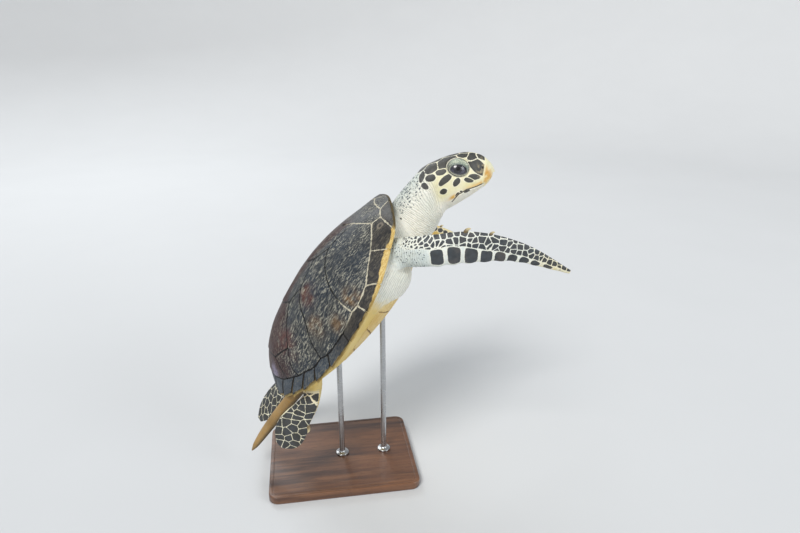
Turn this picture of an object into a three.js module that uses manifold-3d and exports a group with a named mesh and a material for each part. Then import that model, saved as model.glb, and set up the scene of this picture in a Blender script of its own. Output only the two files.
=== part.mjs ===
// A life-size hawksbill sea turtle on a display stand, in millimetres, +Z up.
// The animal is laid out flat first: x runs from the tail end of the shell to its front edge,
// y to the animal's left and z towards its back. The whole body is then pitched up on the stand.
// Lengths written as fractions are fractions of the straight shell length.
import * as THREE from 'three';
import { mergeVertices } from 'three/addons/utils/BufferGeometryUtils.js';
import Module from 'manifold-3d';

// ---- Driving dimensions -------------------------------------------------------------------

const SHELL_LENGTH = 640;
const BODY_PITCH = 61; // degrees, shell axis above level
const HEAD_DROP = 38.5; // degrees, head axis below the shell axis
const JOINT_GAP = 0.5; // clear space between two pieces that meet
const SEAM_INSET = 0.45; // how far a shell plate stops short of its seam

const SHELL_HALF_WIDTH = 0.377;
const SHOULDER_FLARE = 0.148; // extra width of the rim beside the neck
const SHELL_HEIGHT = 0.237; // ridge above the rim
const RIDGE_PEAK = 0.427; // place of the highest point of the back
const PLATE_THICKNESS = 7;
const CORE_DEPTH = 8; // flesh below the outer face of the plates
const RIM_SERRATION = 5; // how far the rear rim plates' corners stand out

const HEAD_LENGTH = 0.282;
const NAPE = [1.166, -0.021]; // top of the back of the head, x and z
const EYE_RADIUS = 23; // across the eyeball, which is flattened like a thick lens
const EYE_DEPTH = 15; // half its thickness
const EYE_TILT = 21; // degrees, how far each eye looks up from level
const EYE_PLACE = [0.129, 0.048, -0.05]; // along the head, to the side, below the nape line

const BASE_LENGTH = 430;
const BASE_WIDTH = 340;
const BASE_THICKNESS = 24;
const BASE_CORNER = 28;
const TAIL_CLEARANCE = 34; // from the tail tip down to the base
const BODY_FORWARD = 0.21; // shell end to base centre, along the floor
const ROD_RADIUS = 8;
const PAD_RADIUS = 26;
const PAD_THICKNESS = 5;
const FRONT_ROD_PLACE = 0.6;
const REAR_ROD_PLACE = 0.32;

const COLOURS = {
  plate: 0x4a4742, seamPlate: 0x57544c, skin: 0xc9d0cc, mask: 0x4b4640, belly: 0xd9c27c,
  horn: 0xc79a4b, eye: 0x1b1a18, claw: 0x8d8263, wood: 0x3a2a20, steel: 0xb4b6b8,
};

const wasm = await Module();
wasm.setup();

const { cos, sin, abs, min, max, sign, hypot, PI } = Math;
const clamp = (value) => min(max(value, 0), 1);
const radians = THREE.MathUtils.degToRad;
const at = (x, y, z) => new THREE.Vector3(x, y, z).multiplyScalar(SHELL_LENGTH);

/** Smooth value at u through a row of [place, value] stations, flat at neither end. */
function through(stations, u) {
  const last = stations.length - 1;
  const place = min(max(u, stations[0][0]), stations[last][0]);
  let i = 0;
  while (i < last - 1 && place > stations[i + 1][0]) i += 1;
  const slope = (k) => {
    const a = stations[max(k - 1, 0)];
    const b = stations[min(k + 1, last)];
    return (b[1] - a[1]) / (b[0] - a[0]);
  };
  const [x0, y0] = stations[i];
  const [x1, y1] = stations[i + 1];
  const step = x1 - x0;
  const t = (place - x0) / step;
  const rise = y1 - y0;
  const bend0 = slope(i) * step - rise;
  const bend1 = rise - slope(i + 1) * step;
  return y0 + t * rise + t * (1 - t) * ((1 - t) * bend0 + t * bend1);
}

// ---- Solids ---------------------------------------------------------------------------------

/** Geometry of a list of corner points and triangles, turned so that its faces point out. */
function closedGeometry(points, triangles) {
  const a = new THREE.Vector3();
  let volume = 0;
  for (const [i, j, k] of triangles) volume += a.crossVectors(points[i], points[j]).dot(points[k]);
  const outward = volume > 0 ? triangles : triangles.map(([i, j, k]) => [i, k, j]);
  const geometry = new THREE.BufferGeometry();
  geometry.setFromPoints(points);
  geometry.setIndex(outward.flat());
  return geometry;
}

/** Closed skin over a row of rings that have equal counts, with a fan on each end. */
function skinOver(rings) {
  const count = rings[0].length;
  const points = rings.flat();
  const triangles = [];
  for (let r = 0; r < rings.length - 1; r += 1) {
    for (let i = 0; i < count; i += 1) {
      const a = r * count + i;
      const b = r * count + ((i + 1) % count);
      triangles.push([a, b, b + count], [a, b + count, a + count]);
    }
  }
  for (const [ring, first, turn] of [[rings[0], 0, 1], [rings.at(-1), (rings.length - 1) * count, 0]]) {
    const middle = points.length;
    points.push(ring.reduce((sum, p) => sum.add(p), new THREE.Vector3()).divideScalar(count));
    for (let i = 0; i < count; i += 1) {
      const a = first + i;
      const b = first + ((i + 1) % count);
      triangles.push(turn ? [middle, b, a] : [middle, a, b]);
    }
  }
  return closedGeometry(points, triangles);
}

/** Oval ring about a centre: a superellipse with its own height above and below. */
function ovalRing({ centre, side, up, half, above, below, squareness = 2, count = 20 }) {
  const ring = [];
  for (let i = 0; i < count; i += 1) {
    const angle = (2 * PI * i) / count;
    const c = sign(cos(angle)) * abs(cos(angle)) ** (2 / squareness);
    const s = sign(sin(angle)) * abs(sin(angle)) ** (2 / squareness);
    ring.push(centre.clone()
      .addScaledVector(side, half * c)
      .addScaledVector(up, s > 0 ? above * s : below * s));
  }
  return ring;
}

/** The manifold of a closed geometry. */
function toSolid(geometry) {
  const bare = geometry.clone();
  bare.deleteAttribute('normal');
  bare.deleteAttribute('uv');
  const merged = mergeVertices(bare, 1e-4);
  const vertProperties = new Float32Array(merged.attributes.position.array);
  const triVerts = new Uint32Array(merged.index.array);
  return new wasm.Manifold(new wasm.Mesh({ numProp: 3, vertProperties, triVerts }));
}

/** The geometry of a manifold. */
function toGeometry(solid) {
  const mesh = solid.getMesh();
  const geometry = new THREE.BufferGeometry();
  geometry.setAttribute('position', new THREE.BufferAttribute(new Float32Array(mesh.vertProperties), 3));
  geometry.setIndex(new THREE.BufferAttribute(new Uint32Array(mesh.triVerts), 1));
  return geometry;
}

/** What is left of a geometry outside the cutters, as separate solids, largest first. */
function cutApart(geometry, cutters) {
  let solid = toSolid(geometry);
  for (const cutter of cutters) solid = solid.subtract(toSolid(cutter));
  return solid.decompose().sort((a, b) => b.volume() - a.volume());
}

const cutBy = (geometry, ...cutters) => toGeometry(cutApart(geometry, cutters)[0]);

/** Named mesh in a plain finish. */
function piece(name, geometry, color, roughness = 0.6, metalness = 0) {
  const material = new THREE.MeshStandardMaterial({ color, roughness, metalness });
  const mesh = new THREE.Mesh(geometry, material);
  mesh.name = name;
  return mesh;
}

// ---- Shell form -----------------------------------------------------------------------------

/** Rim point at an angle from the front (0) round the right side to the rear (180 degrees). */
function rimPlan(degrees) {
  const t = radians(degrees);
  const egg = (1 + 0.143 * cos(t) - 0.021 * cos(2 * t)) / 1.03;
  const flare = SHOULDER_FLARE * Math.exp(-(((degrees - 24) / 13) ** 2));
  return [0.5 + 0.5 * cos(t), (SHELL_HALF_WIDTH * egg + flare) * sin(t)];
}

const rimHalfWidth = (x) => rimPlan(THREE.MathUtils.radToDeg(Math.acos(2 * clamp(x) - 1)))[1];

/** Height of the rim: it lifts over the neck and over the tail. */
const rimHeight = (x) => 0.05 * clamp((x - 0.648) / 0.352) ** 2 + 0.073 * clamp((0.45 - x) / 0.45) ** 2;

/** Height of the middle of the back. */
function ridgeHeight(x) {
  const front = x > RIDGE_PEAK;
  const run = front ? (x - RIDGE_PEAK) / (1 - RIDGE_PEAK) : (RIDGE_PEAK - x) / RIDGE_PEAK;
  const fall = clamp(run) ** (front ? 2.27 : 2.79);
  return SHELL_HEIGHT + (rimHeight(front ? 1 : 0) - SHELL_HEIGHT) * fall;
}

/** Outer face of the back shell over a place in plan. */
function backHeight(x, y) {
  const across = min(abs(y) / max(rimHalfWidth(x), 1e-4), 1);
  return rimHeight(x) + (ridgeHeight(x) - rimHeight(x)) * (1 - across ** 1.86);
}

const BELLY_MIDDLE = [
  [0.03, 0.005], [0.16, -0.02], [0.27, -0.05], [0.43, -0.094], [0.54, -0.124],
  [0.68, -0.151], [0.77, -0.158], [0.85, -0.144], [0.97, -0.12],
];

/** Outer face of the belly over a place in plan, flat in the middle and rising to the rim. */
function bellyHeight(x, y) {
  const middle = through(BELLY_MIDDLE, x);
  const across = min(abs(y) / (0.93 * max(rimHalfWidth(x), 0.05)), 1);
  return middle + (rimHeight(x) - 0.018 - middle) * across ** 5;
}

/** Closed plate on a plan outline: its outer face follows `height`, its inner face is offset. */
function shellPlate(outline, height, offset, rowCount, inset = SEAM_INSET / SHELL_LENGTH) {
  const centre = outline.reduce(([sx, sy], [x, y]) => [sx + x, sy + y], [0, 0])
    .map((sum) => sum / outline.length);
  const edge = outline.map(([x, y]) => {
    const away = hypot(x - centre[0], y - centre[1]);
    return [x + (inset * (centre[0] - x)) / away, y + (inset * (centre[1] - y)) / away];
  });
  const count = edge.length;
  const points = [];
  const triangles = [];
  for (const face of [0, 1]) {
    const first = points.length;
    const lift = face * offset;
    const place = (x, y) => {
      const point = at(x, y, height(x, y));
      point.z += lift;
      return point;
    };
    points.push(place(...centre));
    for (let row = 1; row <= rowCount; row += 1) {
      const part = row / rowCount;
      for (const [x, y] of edge) {
        points.push(place(centre[0] + (x - centre[0]) * part, centre[1] + (y - centre[1]) * part));
      }
    }
    const add = (i, j, k) => triangles.push(face ? [i, k, j] : [i, j, k]);
    for (let i = 0; i < count; i += 1) {
      const next = (i + 1) % count;
      add(first, first + 1 + i, first + 1 + next);
      for (let row = 1; row < rowCount; row += 1) {
        const inner = first + 1 + (row - 1) * count;
        const outer = inner + count;
        add(inner + i, outer + i, outer + next);
        add(inner + i, outer + next, inner + next);
      }
    }
  }
  const outerEdge = 1 + (rowCount - 1) * count;
  const innerEdge = outerEdge + 1 + rowCount * count;
  for (let i = 0; i < count; i += 1) {
    const next = (i + 1) % count;
    triangles.push([outerEdge + i, innerEdge + i, innerEdge + next]);
    triangles.push([outerEdge + i, innerEdge + next, outerEdge + next]);
  }
  return closedGeometry(points, triangles);
}

/** Outline with each straight stretch divided evenly to at most `step` long. */
function divided(corners, step) {
  const outline = [];
  corners.forEach(([x, y], i) => {
    const [nextX, nextY] = corners[(i + 1) % corners.length];
    const parts = max(1, Math.round(hypot(nextX - x, nextY - y) / step));
    for (let k = 0; k < parts; k += 1) {
      outline.push([x + ((nextX - x) * k) / parts, y + ((nextY - y) * k) / parts]);
    }
  });
  return outline;
}

// ---- Shell plates ---------------------------------------------------------------------------

// Angles on the rim where one rim plate ends and the next begins, front to rear.
const RIM_SEAMS = [6, 29, 43, 61, 75, 91, 108, 121, 133, 145, 157, 169];
// Seam between the rim plates and the rest, one corner for each rim seam, with the corners
// where two side plates meet it, or where a side plate meets the middle row.
const INNER_SEAMS = [
  [[0.954, 0.09]], [[0.935, 0.149]], [[0.896, 0.145], [0.863, 0.193], [0.816, 0.243]],
  [[0.751, 0.291], [0.705, 0.32]], [[0.625, 0.341]], [[0.593, 0.339], [0.559, 0.343], [0.502, 0.345]],
  [[0.388, 0.322]], [[0.352, 0.303], [0.3, 0.286]], [[0.245, 0.252]], [[0.212, 0.23], [0.19, 0.211]],
  [[0.152, 0.175], [0.13, 0.15]], [[0.1, 0.092]],
];
const SIDE_SEAMS = [
  [[0.71, 0.085], [0.671, 0.125], [0.616, 0.214], [0.592, 0.293], [0.593, 0.339]],
  [[0.515, 0.102], [0.468, 0.145], [0.432, 0.205], [0.382, 0.256], [0.352, 0.303]],
  [[0.28, 0.172], [0.245, 0.186], [0.217, 0.205], [0.212, 0.23]],
];
const MIDDLE_SEAMS = [
  [0.949, [0.954, 0.09]], [0.805, [0.845, 0.06]], [0.6, [0.64, 0.058]], [0.392, [0.43, 0.078]],
  [0.168, [0.19, 0.105]], [0.085, [0.1, 0.092]],
];
const SIDE_FRONT = [[0.845, 0.06], [0.862, 0.09], [0.896, 0.145]];
const SIDE_REAR = [[0.19, 0.105], [0.152, 0.175]];

const innerLine = INNER_SEAMS.flat();
const sameCorner = ([x, y]) => ([u, v]) => abs(x - u) < 1e-6 && abs(y - v) < 1e-6;

/** Stretch of the inner seam from one corner to another, front to rear. */
function innerStretch(from, to) {
  return innerLine.slice(innerLine.findIndex(sameCorner(from)), innerLine.findIndex(sameCorner(to)) + 1);
}

/** Rim edge between two angles, rear corners standing out on the rear plates. */
function rimEdge(from, to) {
  const steps = max(2, Math.round((to - from) / 6));
  const edge = [];
  for (let k = 0; k <= steps; k += 1) {
    const degrees = from + ((to - from) * k) / steps;
    const [x, y] = rimPlan(degrees);
    const saw = (RIM_SERRATION / SHELL_LENGTH) * clamp((degrees - 80) / 60) * ((k / steps) ** 2 - 1);
    const away = hypot(x - 0.5, y);
    edge.push([x + ((x - 0.5) * saw) / away, y + (y * saw) / away]);
  }
  return edge;
}

const mirrored = (corners) => corners.map(([x, y]) => [x, -y]);
const PLATE_STEP = 0.056;

/** Shell plate of the back on its corners, with a number of rows from its middle to its edge. */
function backPlate(corners, rows) {
  return shellPlate(divided(corners, PLATE_STEP), backHeight, -PLATE_THICKNESS, rows);
}

/** Middle row: five plates from behind the neck plate to the tail. */
function middlePlates() {
  const flanks = [
    [[0.935, 0.149], [0.896, 0.145], [0.862, 0.09]], [[0.71, 0.085]], [[0.515, 0.102]],
    [[0.28, 0.172]], [[0.152, 0.175], [0.13, 0.15]],
  ];
  return flanks.map((flank, i) => {
    const [frontMiddle, frontCorner] = MIDDLE_SEAMS[i];
    const [rearMiddle, rearCorner] = MIDDLE_SEAMS[i + 1];
    const half = [frontCorner, ...flank, rearCorner];
    const corners = [[frontMiddle, 0], ...half, [rearMiddle, 0], ...mirrored(half).reverse()];
    return piece(`vertebral_${i + 1}`, backPlate(corners, 3), COLOURS.plate);
  });
}

/** One side: four side plates, the rim plates and, on both sides alike, their seams. */
function sidePlates(side) {
  const turn = side === 'left' ? (corners) => corners : mirrored;
  const fronts = [SIDE_FRONT, ...SIDE_SEAMS];
  const rears = [...SIDE_SEAMS, SIDE_REAR];
  const shared = [[], [[0.64, 0.058]], [[0.43, 0.078]], []];
  const plates = fronts.map((front, i) => {
    const rear = rears[i];
    const margin = innerStretch(front.at(-1), rear.at(-1));
    const corners = [...front, ...margin.slice(1, -1), ...[...rear].reverse(), ...shared[i]];
    return piece(`costal_${side}_${i + 1}`, backPlate(turn(corners), 3), COLOURS.plate);
  });
  RIM_SEAMS.slice(0, -1).forEach((angle, i) => {
    const inner = innerStretch(INNER_SEAMS[i].at(-1), INNER_SEAMS[i + 1].at(-1));
    const corners = [...rimEdge(angle, RIM_SEAMS[i + 1]), ...inner.reverse()];
    plates.push(piece(`marginal_${side}_${i + 1}`, backPlate(turn(corners), 1), COLOURS.seamPlate));
  });
  return plates;
}

/** The plate over the neck and the one over the tail, which lie across the middle. */
function endPlates() {
  const neckHalf = [...rimEdge(0, RIM_SEAMS[0]).slice(1), [0.954, 0.09]];
  const tailHalf = [[0.1, 0.092], ...rimEdge(RIM_SEAMS.at(-1), 176)];
  const neckEdge = [...mirrored(neckHalf).reverse(), [1, 0], ...neckHalf, [0.949, 0]];
  const tailEdge = [...tailHalf, [0.006, 0], ...mirrored(tailHalf).reverse(), [0.085, 0]];
  return [
    piece('nuchal', backPlate(neckEdge, 2), COLOURS.plate),
    piece('supracaudal', backPlate(tailEdge, 2), COLOURS.seamPlate),
  ];
}

/** Belly shell with its bridges up towards the rim plates on both sides, or a larger cutter. */
function plastron(gap = 0) {
  const half = [
    [0.15, 0.045], [0.2, 0.088], [0.28, 0.125], [0.345, 0.19], [0.375, 0.285], [0.45, 0.318],
    [0.55, 0.33], [0.63, 0.322], [0.68, 0.285], [0.71, 0.205], [0.78, 0.155], [0.84, 0.11], [0.87, 0.05],
  ];
  const corners = [...half, ...mirrored(half).reverse()];
  const grown = gap / SHELL_LENGTH;
  const face = (x, y) => bellyHeight(x, y) - grown;
  return shellPlate(divided(corners, 0.08), face, PLATE_THICKNESS + 2 * gap, 4, -grown);
}

// ---- Flesh ----------------------------------------------------------------------------------

const TRUNK_MIDDLE = 0.5;
const TRUNK_HALF = 0.455;
const SIDE = new THREE.Vector3(0, 1, 0);

/** How far the breast muscle behind each front flipper stands out below the belly face. */
function breastSwell(x, y) {
  const run = (x - 0.79) / 0.09;
  const across = (abs(y) - 0.245) / 0.055;
  return 0.036 * Math.exp(-(run ** 2) - across ** 2);
}

/** Body inside the shell, rounded off at the neck end and the tail end, or a larger cutter. */
function trunk(gap = 0) {
  const grown = gap / SHELL_LENGTH;
  const rings = [];
  const stations = 14;
  const count = 26;
  for (let i = 0; i <= stations; i += 1) {
    const run = -cos((PI * (i + 0.35)) / (stations + 0.7));
    const end = i % stations ? 0 : grown;
    const x = TRUNK_MIDDLE + TRUNK_HALF * run + end * sign(run);
    const round = (1 - abs(run) ** 6) ** 0.5;
    const half = 0.89 * rimHalfWidth(x) * round;
    const level = rimHeight(x) + 0.004;
    const ring = [];
    for (let k = 0; k < count; k += 1) {
      const angle = (2 * PI * k) / count;
      const y = half * cos(angle);
      const face = angle < PI ? backHeight(x, y) : bellyHeight(x, y);
      const outward = angle < PI ? 1 : -1;
      const muscle = angle < PI ? 0 : breastSwell(x, y);
      const lip = abs(sin(angle)) ** 0.22;
      const depth = face - (outward * CORE_DEPTH) / SHELL_LENGTH - level;
      const z = level + (depth * round + outward * grown) * lip - muscle;
      ring.push(at(x, y + grown * cos(angle), z));
    }
    rings.push(ring);
  }
  return skinOver(rings);
}

/** Copy of a piece that is larger by the joint gap all over, to cut its neighbour with. */
function swollen(geometry) {
  const larger = geometry.clone();
  larger.computeVertexNormals();
  const { position, normal } = larger.attributes;
  const corner = new THREE.Vector3();
  const outward = new THREE.Vector3();
  for (let i = 0; i < position.count; i += 1) {
    outward.fromBufferAttribute(normal, i);
    corner.fromBufferAttribute(position, i).addScaledVector(outward, JOINT_GAP);
    position.setXYZ(i, corner.x, corner.y, corner.z);
  }
  return larger;
}

const HEAD_SIDES = 20;
const NECK_PATH = [[0.84, -0.05], [0.93, -0.082], [1.01, -0.092], [1.098, -0.104]];
const headAngle = radians(HEAD_DROP);
const headAlong = new THREE.Vector3(cos(headAngle), 0, -sin(headAngle));
const headUp = new THREE.Vector3(sin(headAngle), 0, cos(headAngle));

const HEAD_HALVES = [
  [0, 0.066], [0.22, 0.077], [0.42, 0.074], [0.6, 0.061], [0.78, 0.042], [0.92, 0.026], [1, 0.014],
];
const CROWN = [[0, 0.104], [0.1, 0.112], [0.3, 0.118], [0.55, 0.12], [0.75, 0.117], [1, 0.11]];

/** Half width, height above and depth below the head's middle line, at a part of its length. */
function headSection(part) {
  const nose = (1 - clamp(part) ** 6) ** 0.5;
  const chin = (1 - clamp(part / 0.955) ** 9) ** 0.5;
  return {
    half: through(HEAD_HALVES, part) * (1 - clamp(part) ** 14) ** 0.5,
    above: through(CROWN, part) * nose,
    below: (0.101 - 0.064 * part) * (part < 0.955 ? max(chin, 0.12) : 0.12),
    drop: 0.104 + 0.028 * part,
  };
}

/** Ring of the head at a part of its length, in the head's own frame. */
function headRing(part, count = HEAD_SIDES) {
  const { half, above, below, drop } = headSection(part);
  return ovalRing({
    centre: at(HEAD_LENGTH * part, 0, -drop),
    side: SIDE,
    up: new THREE.Vector3(0, 0, 1),
    half: half * SHELL_LENGTH,
    above: above * SHELL_LENGTH,
    below: below * SHELL_LENGTH,
    squareness: 2.25,
    count,
  });
}

/** Puts a point of the head's own frame into the body's frame. */
function fromHead(point) {
  return at(NAPE[0], 0, NAPE[1])
    .addScaledVector(headAlong, point.x)
    .addScaledVector(SIDE, point.y)
    .addScaledVector(headUp, point.z);
}

/** Neck from inside the body to the flat back of the head. */
function neck(...cutters) {
  const rings = [];
  const halves = [[0, 0.15], [0.33, 0.118], [0.7, 0.096], [1, 0.084]];
  const tops = [[0, 0.09], [0.33, 0.106], [0.7, 0.104], [1, 0.104]];
  const throats = [[0, 0.05], [0.2, 0.07], [0.42, 0.104], [0.7, 0.104], [1, 0.101]];
  const path = new THREE.CatmullRomCurve3(NECK_PATH.map(([x, z]) => at(x, 0, z)));
  const steps = 7;
  for (let i = 0; i < steps; i += 1) {
    const u = (0.94 * i) / steps;
    const along = path.getTangent(u);
    rings.push(ovalRing({
      centre: path.getPoint(u),
      side: SIDE,
      up: new THREE.Vector3().crossVectors(along, SIDE),
      half: through(halves, u) * SHELL_LENGTH,
      above: through(tops, u) * SHELL_LENGTH,
      below: through(throats, u) * SHELL_LENGTH,
      squareness: 2.1,
      count: HEAD_SIDES,
    }));
  }
  const face = headRing(0).map((p) => fromHead(p.setX(-JOINT_GAP)));
  rings.push(face);
  return cutBy(skinOver(rings), ...cutters);
}

/** Flat band through the head along a line drawn on its side, used as a thin saw cut. */
function sawCut(line, thickness) {
  const shape = new THREE.Shape();
  const points = line.map(([x, z]) => new THREE.Vector2(x, z).multiplyScalar(SHELL_LENGTH));
  const offset = points.map((p, i) => {
    const before = points[max(i - 1, 0)];
    const after = points[min(i + 1, points.length - 1)];
    const run = after.clone().sub(before).normalize();
    return new THREE.Vector2(-run.y, run.x).multiplyScalar(thickness).add(p);
  });
  shape.setFromPoints([...points, ...offset.reverse()]);
  const depth = 0.3 * SHELL_LENGTH;
  const geometry = new THREE.ExtrudeGeometry(shape, { depth, bevelEnabled: false });
  geometry.translate(0, 0, -depth / 2);
  geometry.rotateX(PI / 2);
  return geometry;
}

// Lines on the side of the head, along it and below the nape line: the mouth from past the tip
// to its corner and down behind the jaw, and the back edge of the horn on the upper and lower jaw.
const MOUTH_LINE = [
  [0.32, -0.118], [0.262, -0.139], [0.225, -0.152], [0.18, -0.151],
  [0.13, -0.142], [0.085, -0.146], [0.05, -0.168], [0.02, -0.26],
];
const UPPER_HORN_LINE = [[0.19, -0.22], [0.206, -0.14], [0.232, -0.105], [0.262, -0.06], [0.29, 0.02]];
const LOWER_HORN_LINE = [[0.205, -0.12], [0.212, -0.16], [0.19, -0.24]];

/** Head in its own frame: skull with eye sockets, jaw, horn of both jaws and the eyes. */
function headPieces() {
  const stations = [0, 0.09, 0.19, 0.29, 0.39, 0.49, 0.59, 0.69, 0.78, 0.86, 0.92, 0.96, 0.985, 0.998];
  const whole = skinOver(stations.map((part) => headRing(part)));
  const eyeball = (side, grown = 0) => {
    const ball = new THREE.SphereGeometry(1, 14, 9);
    ball.scale(EYE_RADIUS + grown, EYE_DEPTH + grown, EYE_RADIUS + grown);
    ball.rotateX(side * radians(EYE_TILT));
    const [along, out, below] = EYE_PLACE;
    const centre = at(along, side * out, below);
    return ball.translate(centre.x, centre.y, centre.z);
  };
  const sockets = [1, -1].map((side) => eyeball(side, JOINT_GAP));
  const [skull, jaw] = cutApart(whole, [sawCut(MOUTH_LINE, 0.7), ...sockets]).map(toGeometry);
  const [head, beakUpper] = cutApart(skull, [sawCut(UPPER_HORN_LINE, 0.5)]).map(toGeometry);
  const [lowerJaw, beakLower] = cutApart(jaw, [sawCut(LOWER_HORN_LINE, 0.5)]).map(toGeometry);
  const group = new THREE.Group();
  group.add(piece('head', head, COLOURS.mask), piece('beak_upper', beakUpper, COLOURS.horn, 0.4));
  group.add(piece('lower_jaw', lowerJaw, COLOURS.skin), piece('beak_lower', beakLower, COLOURS.horn, 0.4));
  group.add(piece('eye_left', eyeball(1), COLOURS.eye, 0.1));
  group.add(piece('eye_right', eyeball(-1), COLOURS.eye, 0.1));
  group.position.copy(at(NAPE[0], 0, NAPE[1]));
  group.rotation.y = headAngle;
  return group;
}

// Each limb: its middle line from inside the body to the tip, the way its front edge faces at
// the root and at the tip, and its half widths ahead of and behind the middle line.
const FRONT_WIDTHS = {
  ahead: [
    [0, 0.06], [0.2, 0.062], [0.36, 0.06], [0.55, 0.062], [0.75, 0.046], [0.9, 0.026], [1, 0.008],
  ],
  behind: [
    [0, 0.06], [0.2, 0.058], [0.36, 0.06], [0.55, 0.058], [0.75, 0.037], [0.9, 0.02], [1, 0.006],
  ],
  thick: [[0, 0.045], [0.2, 0.036], [0.4, 0.022], [0.7, 0.011], [1, 0.004]],
};
const REAR_WIDTHS = {
  ahead: [[0, 0.055], [0.3, 0.052], [0.55, 0.06], [0.78, 0.076], [0.92, 0.06], [1, 0.02]],
  behind: [[0, 0.055], [0.3, 0.05], [0.55, 0.058], [0.78, 0.07], [0.92, 0.054], [1, 0.02]],
  thick: [[0, 0.042], [0.3, 0.03], [0.6, 0.015], [1, 0.004]],
};
const LIMBS = {
  flipper_front_right: {
    path: [
      [0.83, -0.22, -0.01], [0.915, -0.285, -0.11], [1.005, -0.315, -0.235],
      [1.078, -0.345, -0.41], [1.112, -0.38, -0.635],
    ],
    rootEdge: [0.9, 0.05, 0.35], tipEdge: [0.97, -0.12, 0.2], widths: FRONT_WIDTHS, claws: [0.5, 0.62],
  },
  flipper_front_left: {
    path: [
      [0.83, 0.22, -0.01], [0.865, 0.29, -0.13], [0.868, 0.33, -0.27],
      [0.895, 0.365, -0.44], [0.9, 0.4, -0.6],
    ],
    rootEdge: [0.95, -0.05, 0.2], tipEdge: [0.97, 0.12, 0.05], widths: FRONT_WIDTHS, claws: [0.5, 0.62],
  },
  flipper_rear_right: {
    path: [[0.2, -0.16, -0.01], [0.1, -0.19, -0.035], [0, -0.2, -0.02], [-0.14, -0.2, -0.005]],
    rootEdge: [0.1, -0.8, -0.6], tipEdge: [0, -0.5, -0.85], widths: REAR_WIDTHS, claws: [0.62],
  },
  flipper_rear_left: {
    path: [[0.2, 0.16, -0.01], [0.06, 0.2, -0.03], [-0.1, 0.215, 0], [-0.31, 0.21, 0.035]],
    rootEdge: [0, 0.9, 0.2], tipEdge: [0, 0.85, 0.5], widths: REAR_WIDTHS, claws: [0.62],
  },
};

/** Frame of a limb at a part of its length: place, way along, way to its front edge, and out. */
function limbFrame({ path, rootEdge, tipEdge }, part) {
  const curve = new THREE.CatmullRomCurve3(path.map((p) => at(...p)));
  const along = curve.getTangent(part);
  const edge = new THREE.Vector3(...rootEdge).lerp(new THREE.Vector3(...tipEdge), part);
  edge.addScaledVector(along, -edge.dot(along)).normalize();
  return { place: curve.getPoint(part), along, edge, out: new THREE.Vector3().crossVectors(edge, along) };
}

/** Closed flipper: blade sections with a round front edge and a thinner rear edge. */
function limb(spec) {
  const rings = [];
  const stations = 11;
  const count = 14;
  for (let i = 0; i <= stations; i += 1) {
    const part = 1 - (1 - i / stations) ** 1.35;
    const { place, edge, out } = limbFrame(spec, part);
    const ahead = through(spec.widths.ahead, part) * SHELL_LENGTH;
    const behind = through(spec.widths.behind, part) * SHELL_LENGTH;
    const thick = through(spec.widths.thick, part) * SHELL_LENGTH;
    const ring = [];
    for (let k = 0; k < count; k += 1) {
      const angle = (2 * PI * k) / count;
      const across = cos(angle) > 0 ? ahead * cos(angle) : behind * cos(angle);
      const taper = cos(angle) > 0 ? 1 : 1 - 0.35 * part * cos(angle) ** 2;
      ring.push(place.clone().addScaledVector(edge, across).addScaledVector(out, thick * taper * sin(angle)));
    }
    rings.push(ring);
  }
  return skinOver(rings);
}

/** Short curved claw on the front edge of a flipper. */
function claw(spec, part, length) {
  const { place, along, edge } = limbFrame(spec, part);
  const ahead = through(spec.widths.ahead, part) * SHELL_LENGTH;
  const root = place.clone().addScaledVector(edge, ahead + JOINT_GAP);
  const tip = root.clone().addScaledVector(edge, length * 0.75).addScaledVector(along, length * 0.8);
  const bend = root.clone().addScaledVector(edge, length * 0.62).addScaledVector(along, length * 0.2);
  const curve = new THREE.QuadraticBezierCurve3(root, bend, tip);
  const rings = [0, 0.35, 0.7, 0.98].map((u) => {
    const way = curve.getTangent(u);
    const side = new THREE.Vector3().crossVectors(way, edge.clone().cross(along)).normalize();
    const up = new THREE.Vector3().crossVectors(side, way);
    const radius = length * 0.24 * (1 - u) ** 0.7 + 0.4;
    const centre = curve.getPoint(u);
    return ovalRing({ centre, side, up, half: radius, above: radius, below: radius, count: 7 });
  });
  return skinOver(rings);
}

/** The four flippers, cut where they meet the body, and their claws. */
function flippers(body) {
  const pieces = [];
  for (const [name, spec] of Object.entries(LIMBS)) {
    const whole = limb(spec);
    const claws = spec.claws.map((part, i) => claw(spec, part, i ? 11 : 15));
    pieces.push(piece(name, cutBy(whole, body, ...claws.map(swollen)), COLOURS.skin));
    claws.forEach((geometry, i) => {
      pieces.push(piece(`${name.replace('flipper', 'claw')}_${i + 1}`, geometry, COLOURS.claw));
    });
  }
  return pieces;
}

const TAIL_PATH = [[0.14, -0.02], [0.04, -0.012], [-0.1, 0.012], [-0.23, 0.032], [-0.345, 0.043]];
const TAIL_RADII = [[0, 0.05], [0.3, 0.035], [0.7, 0.026], [0.92, 0.016], [1, 0.004]];

/** Thick tapering tail out from under the rear of the shell. */
function tail(body) {
  const path = new THREE.CatmullRomCurve3(TAIL_PATH.map(([x, z]) => at(x, 0, z)));
  const rings = [];
  const stations = 7;
  for (let i = 0; i <= stations; i += 1) {
    const u = i / stations;
    const along = path.getTangent(u);
    const radius = through(TAIL_RADII, u) * SHELL_LENGTH;
    rings.push(ovalRing({
      centre: path.getPoint(u), side: SIDE, up: new THREE.Vector3().crossVectors(along, SIDE),
      half: radius, above: radius * 0.85, below: radius * 0.85, count: 12,
    }));
  }
  return piece('tail', cutBy(skinOver(rings), body), COLOURS.skin);
}

// ---- Stand ----------------------------------------------------------------------------------

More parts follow.
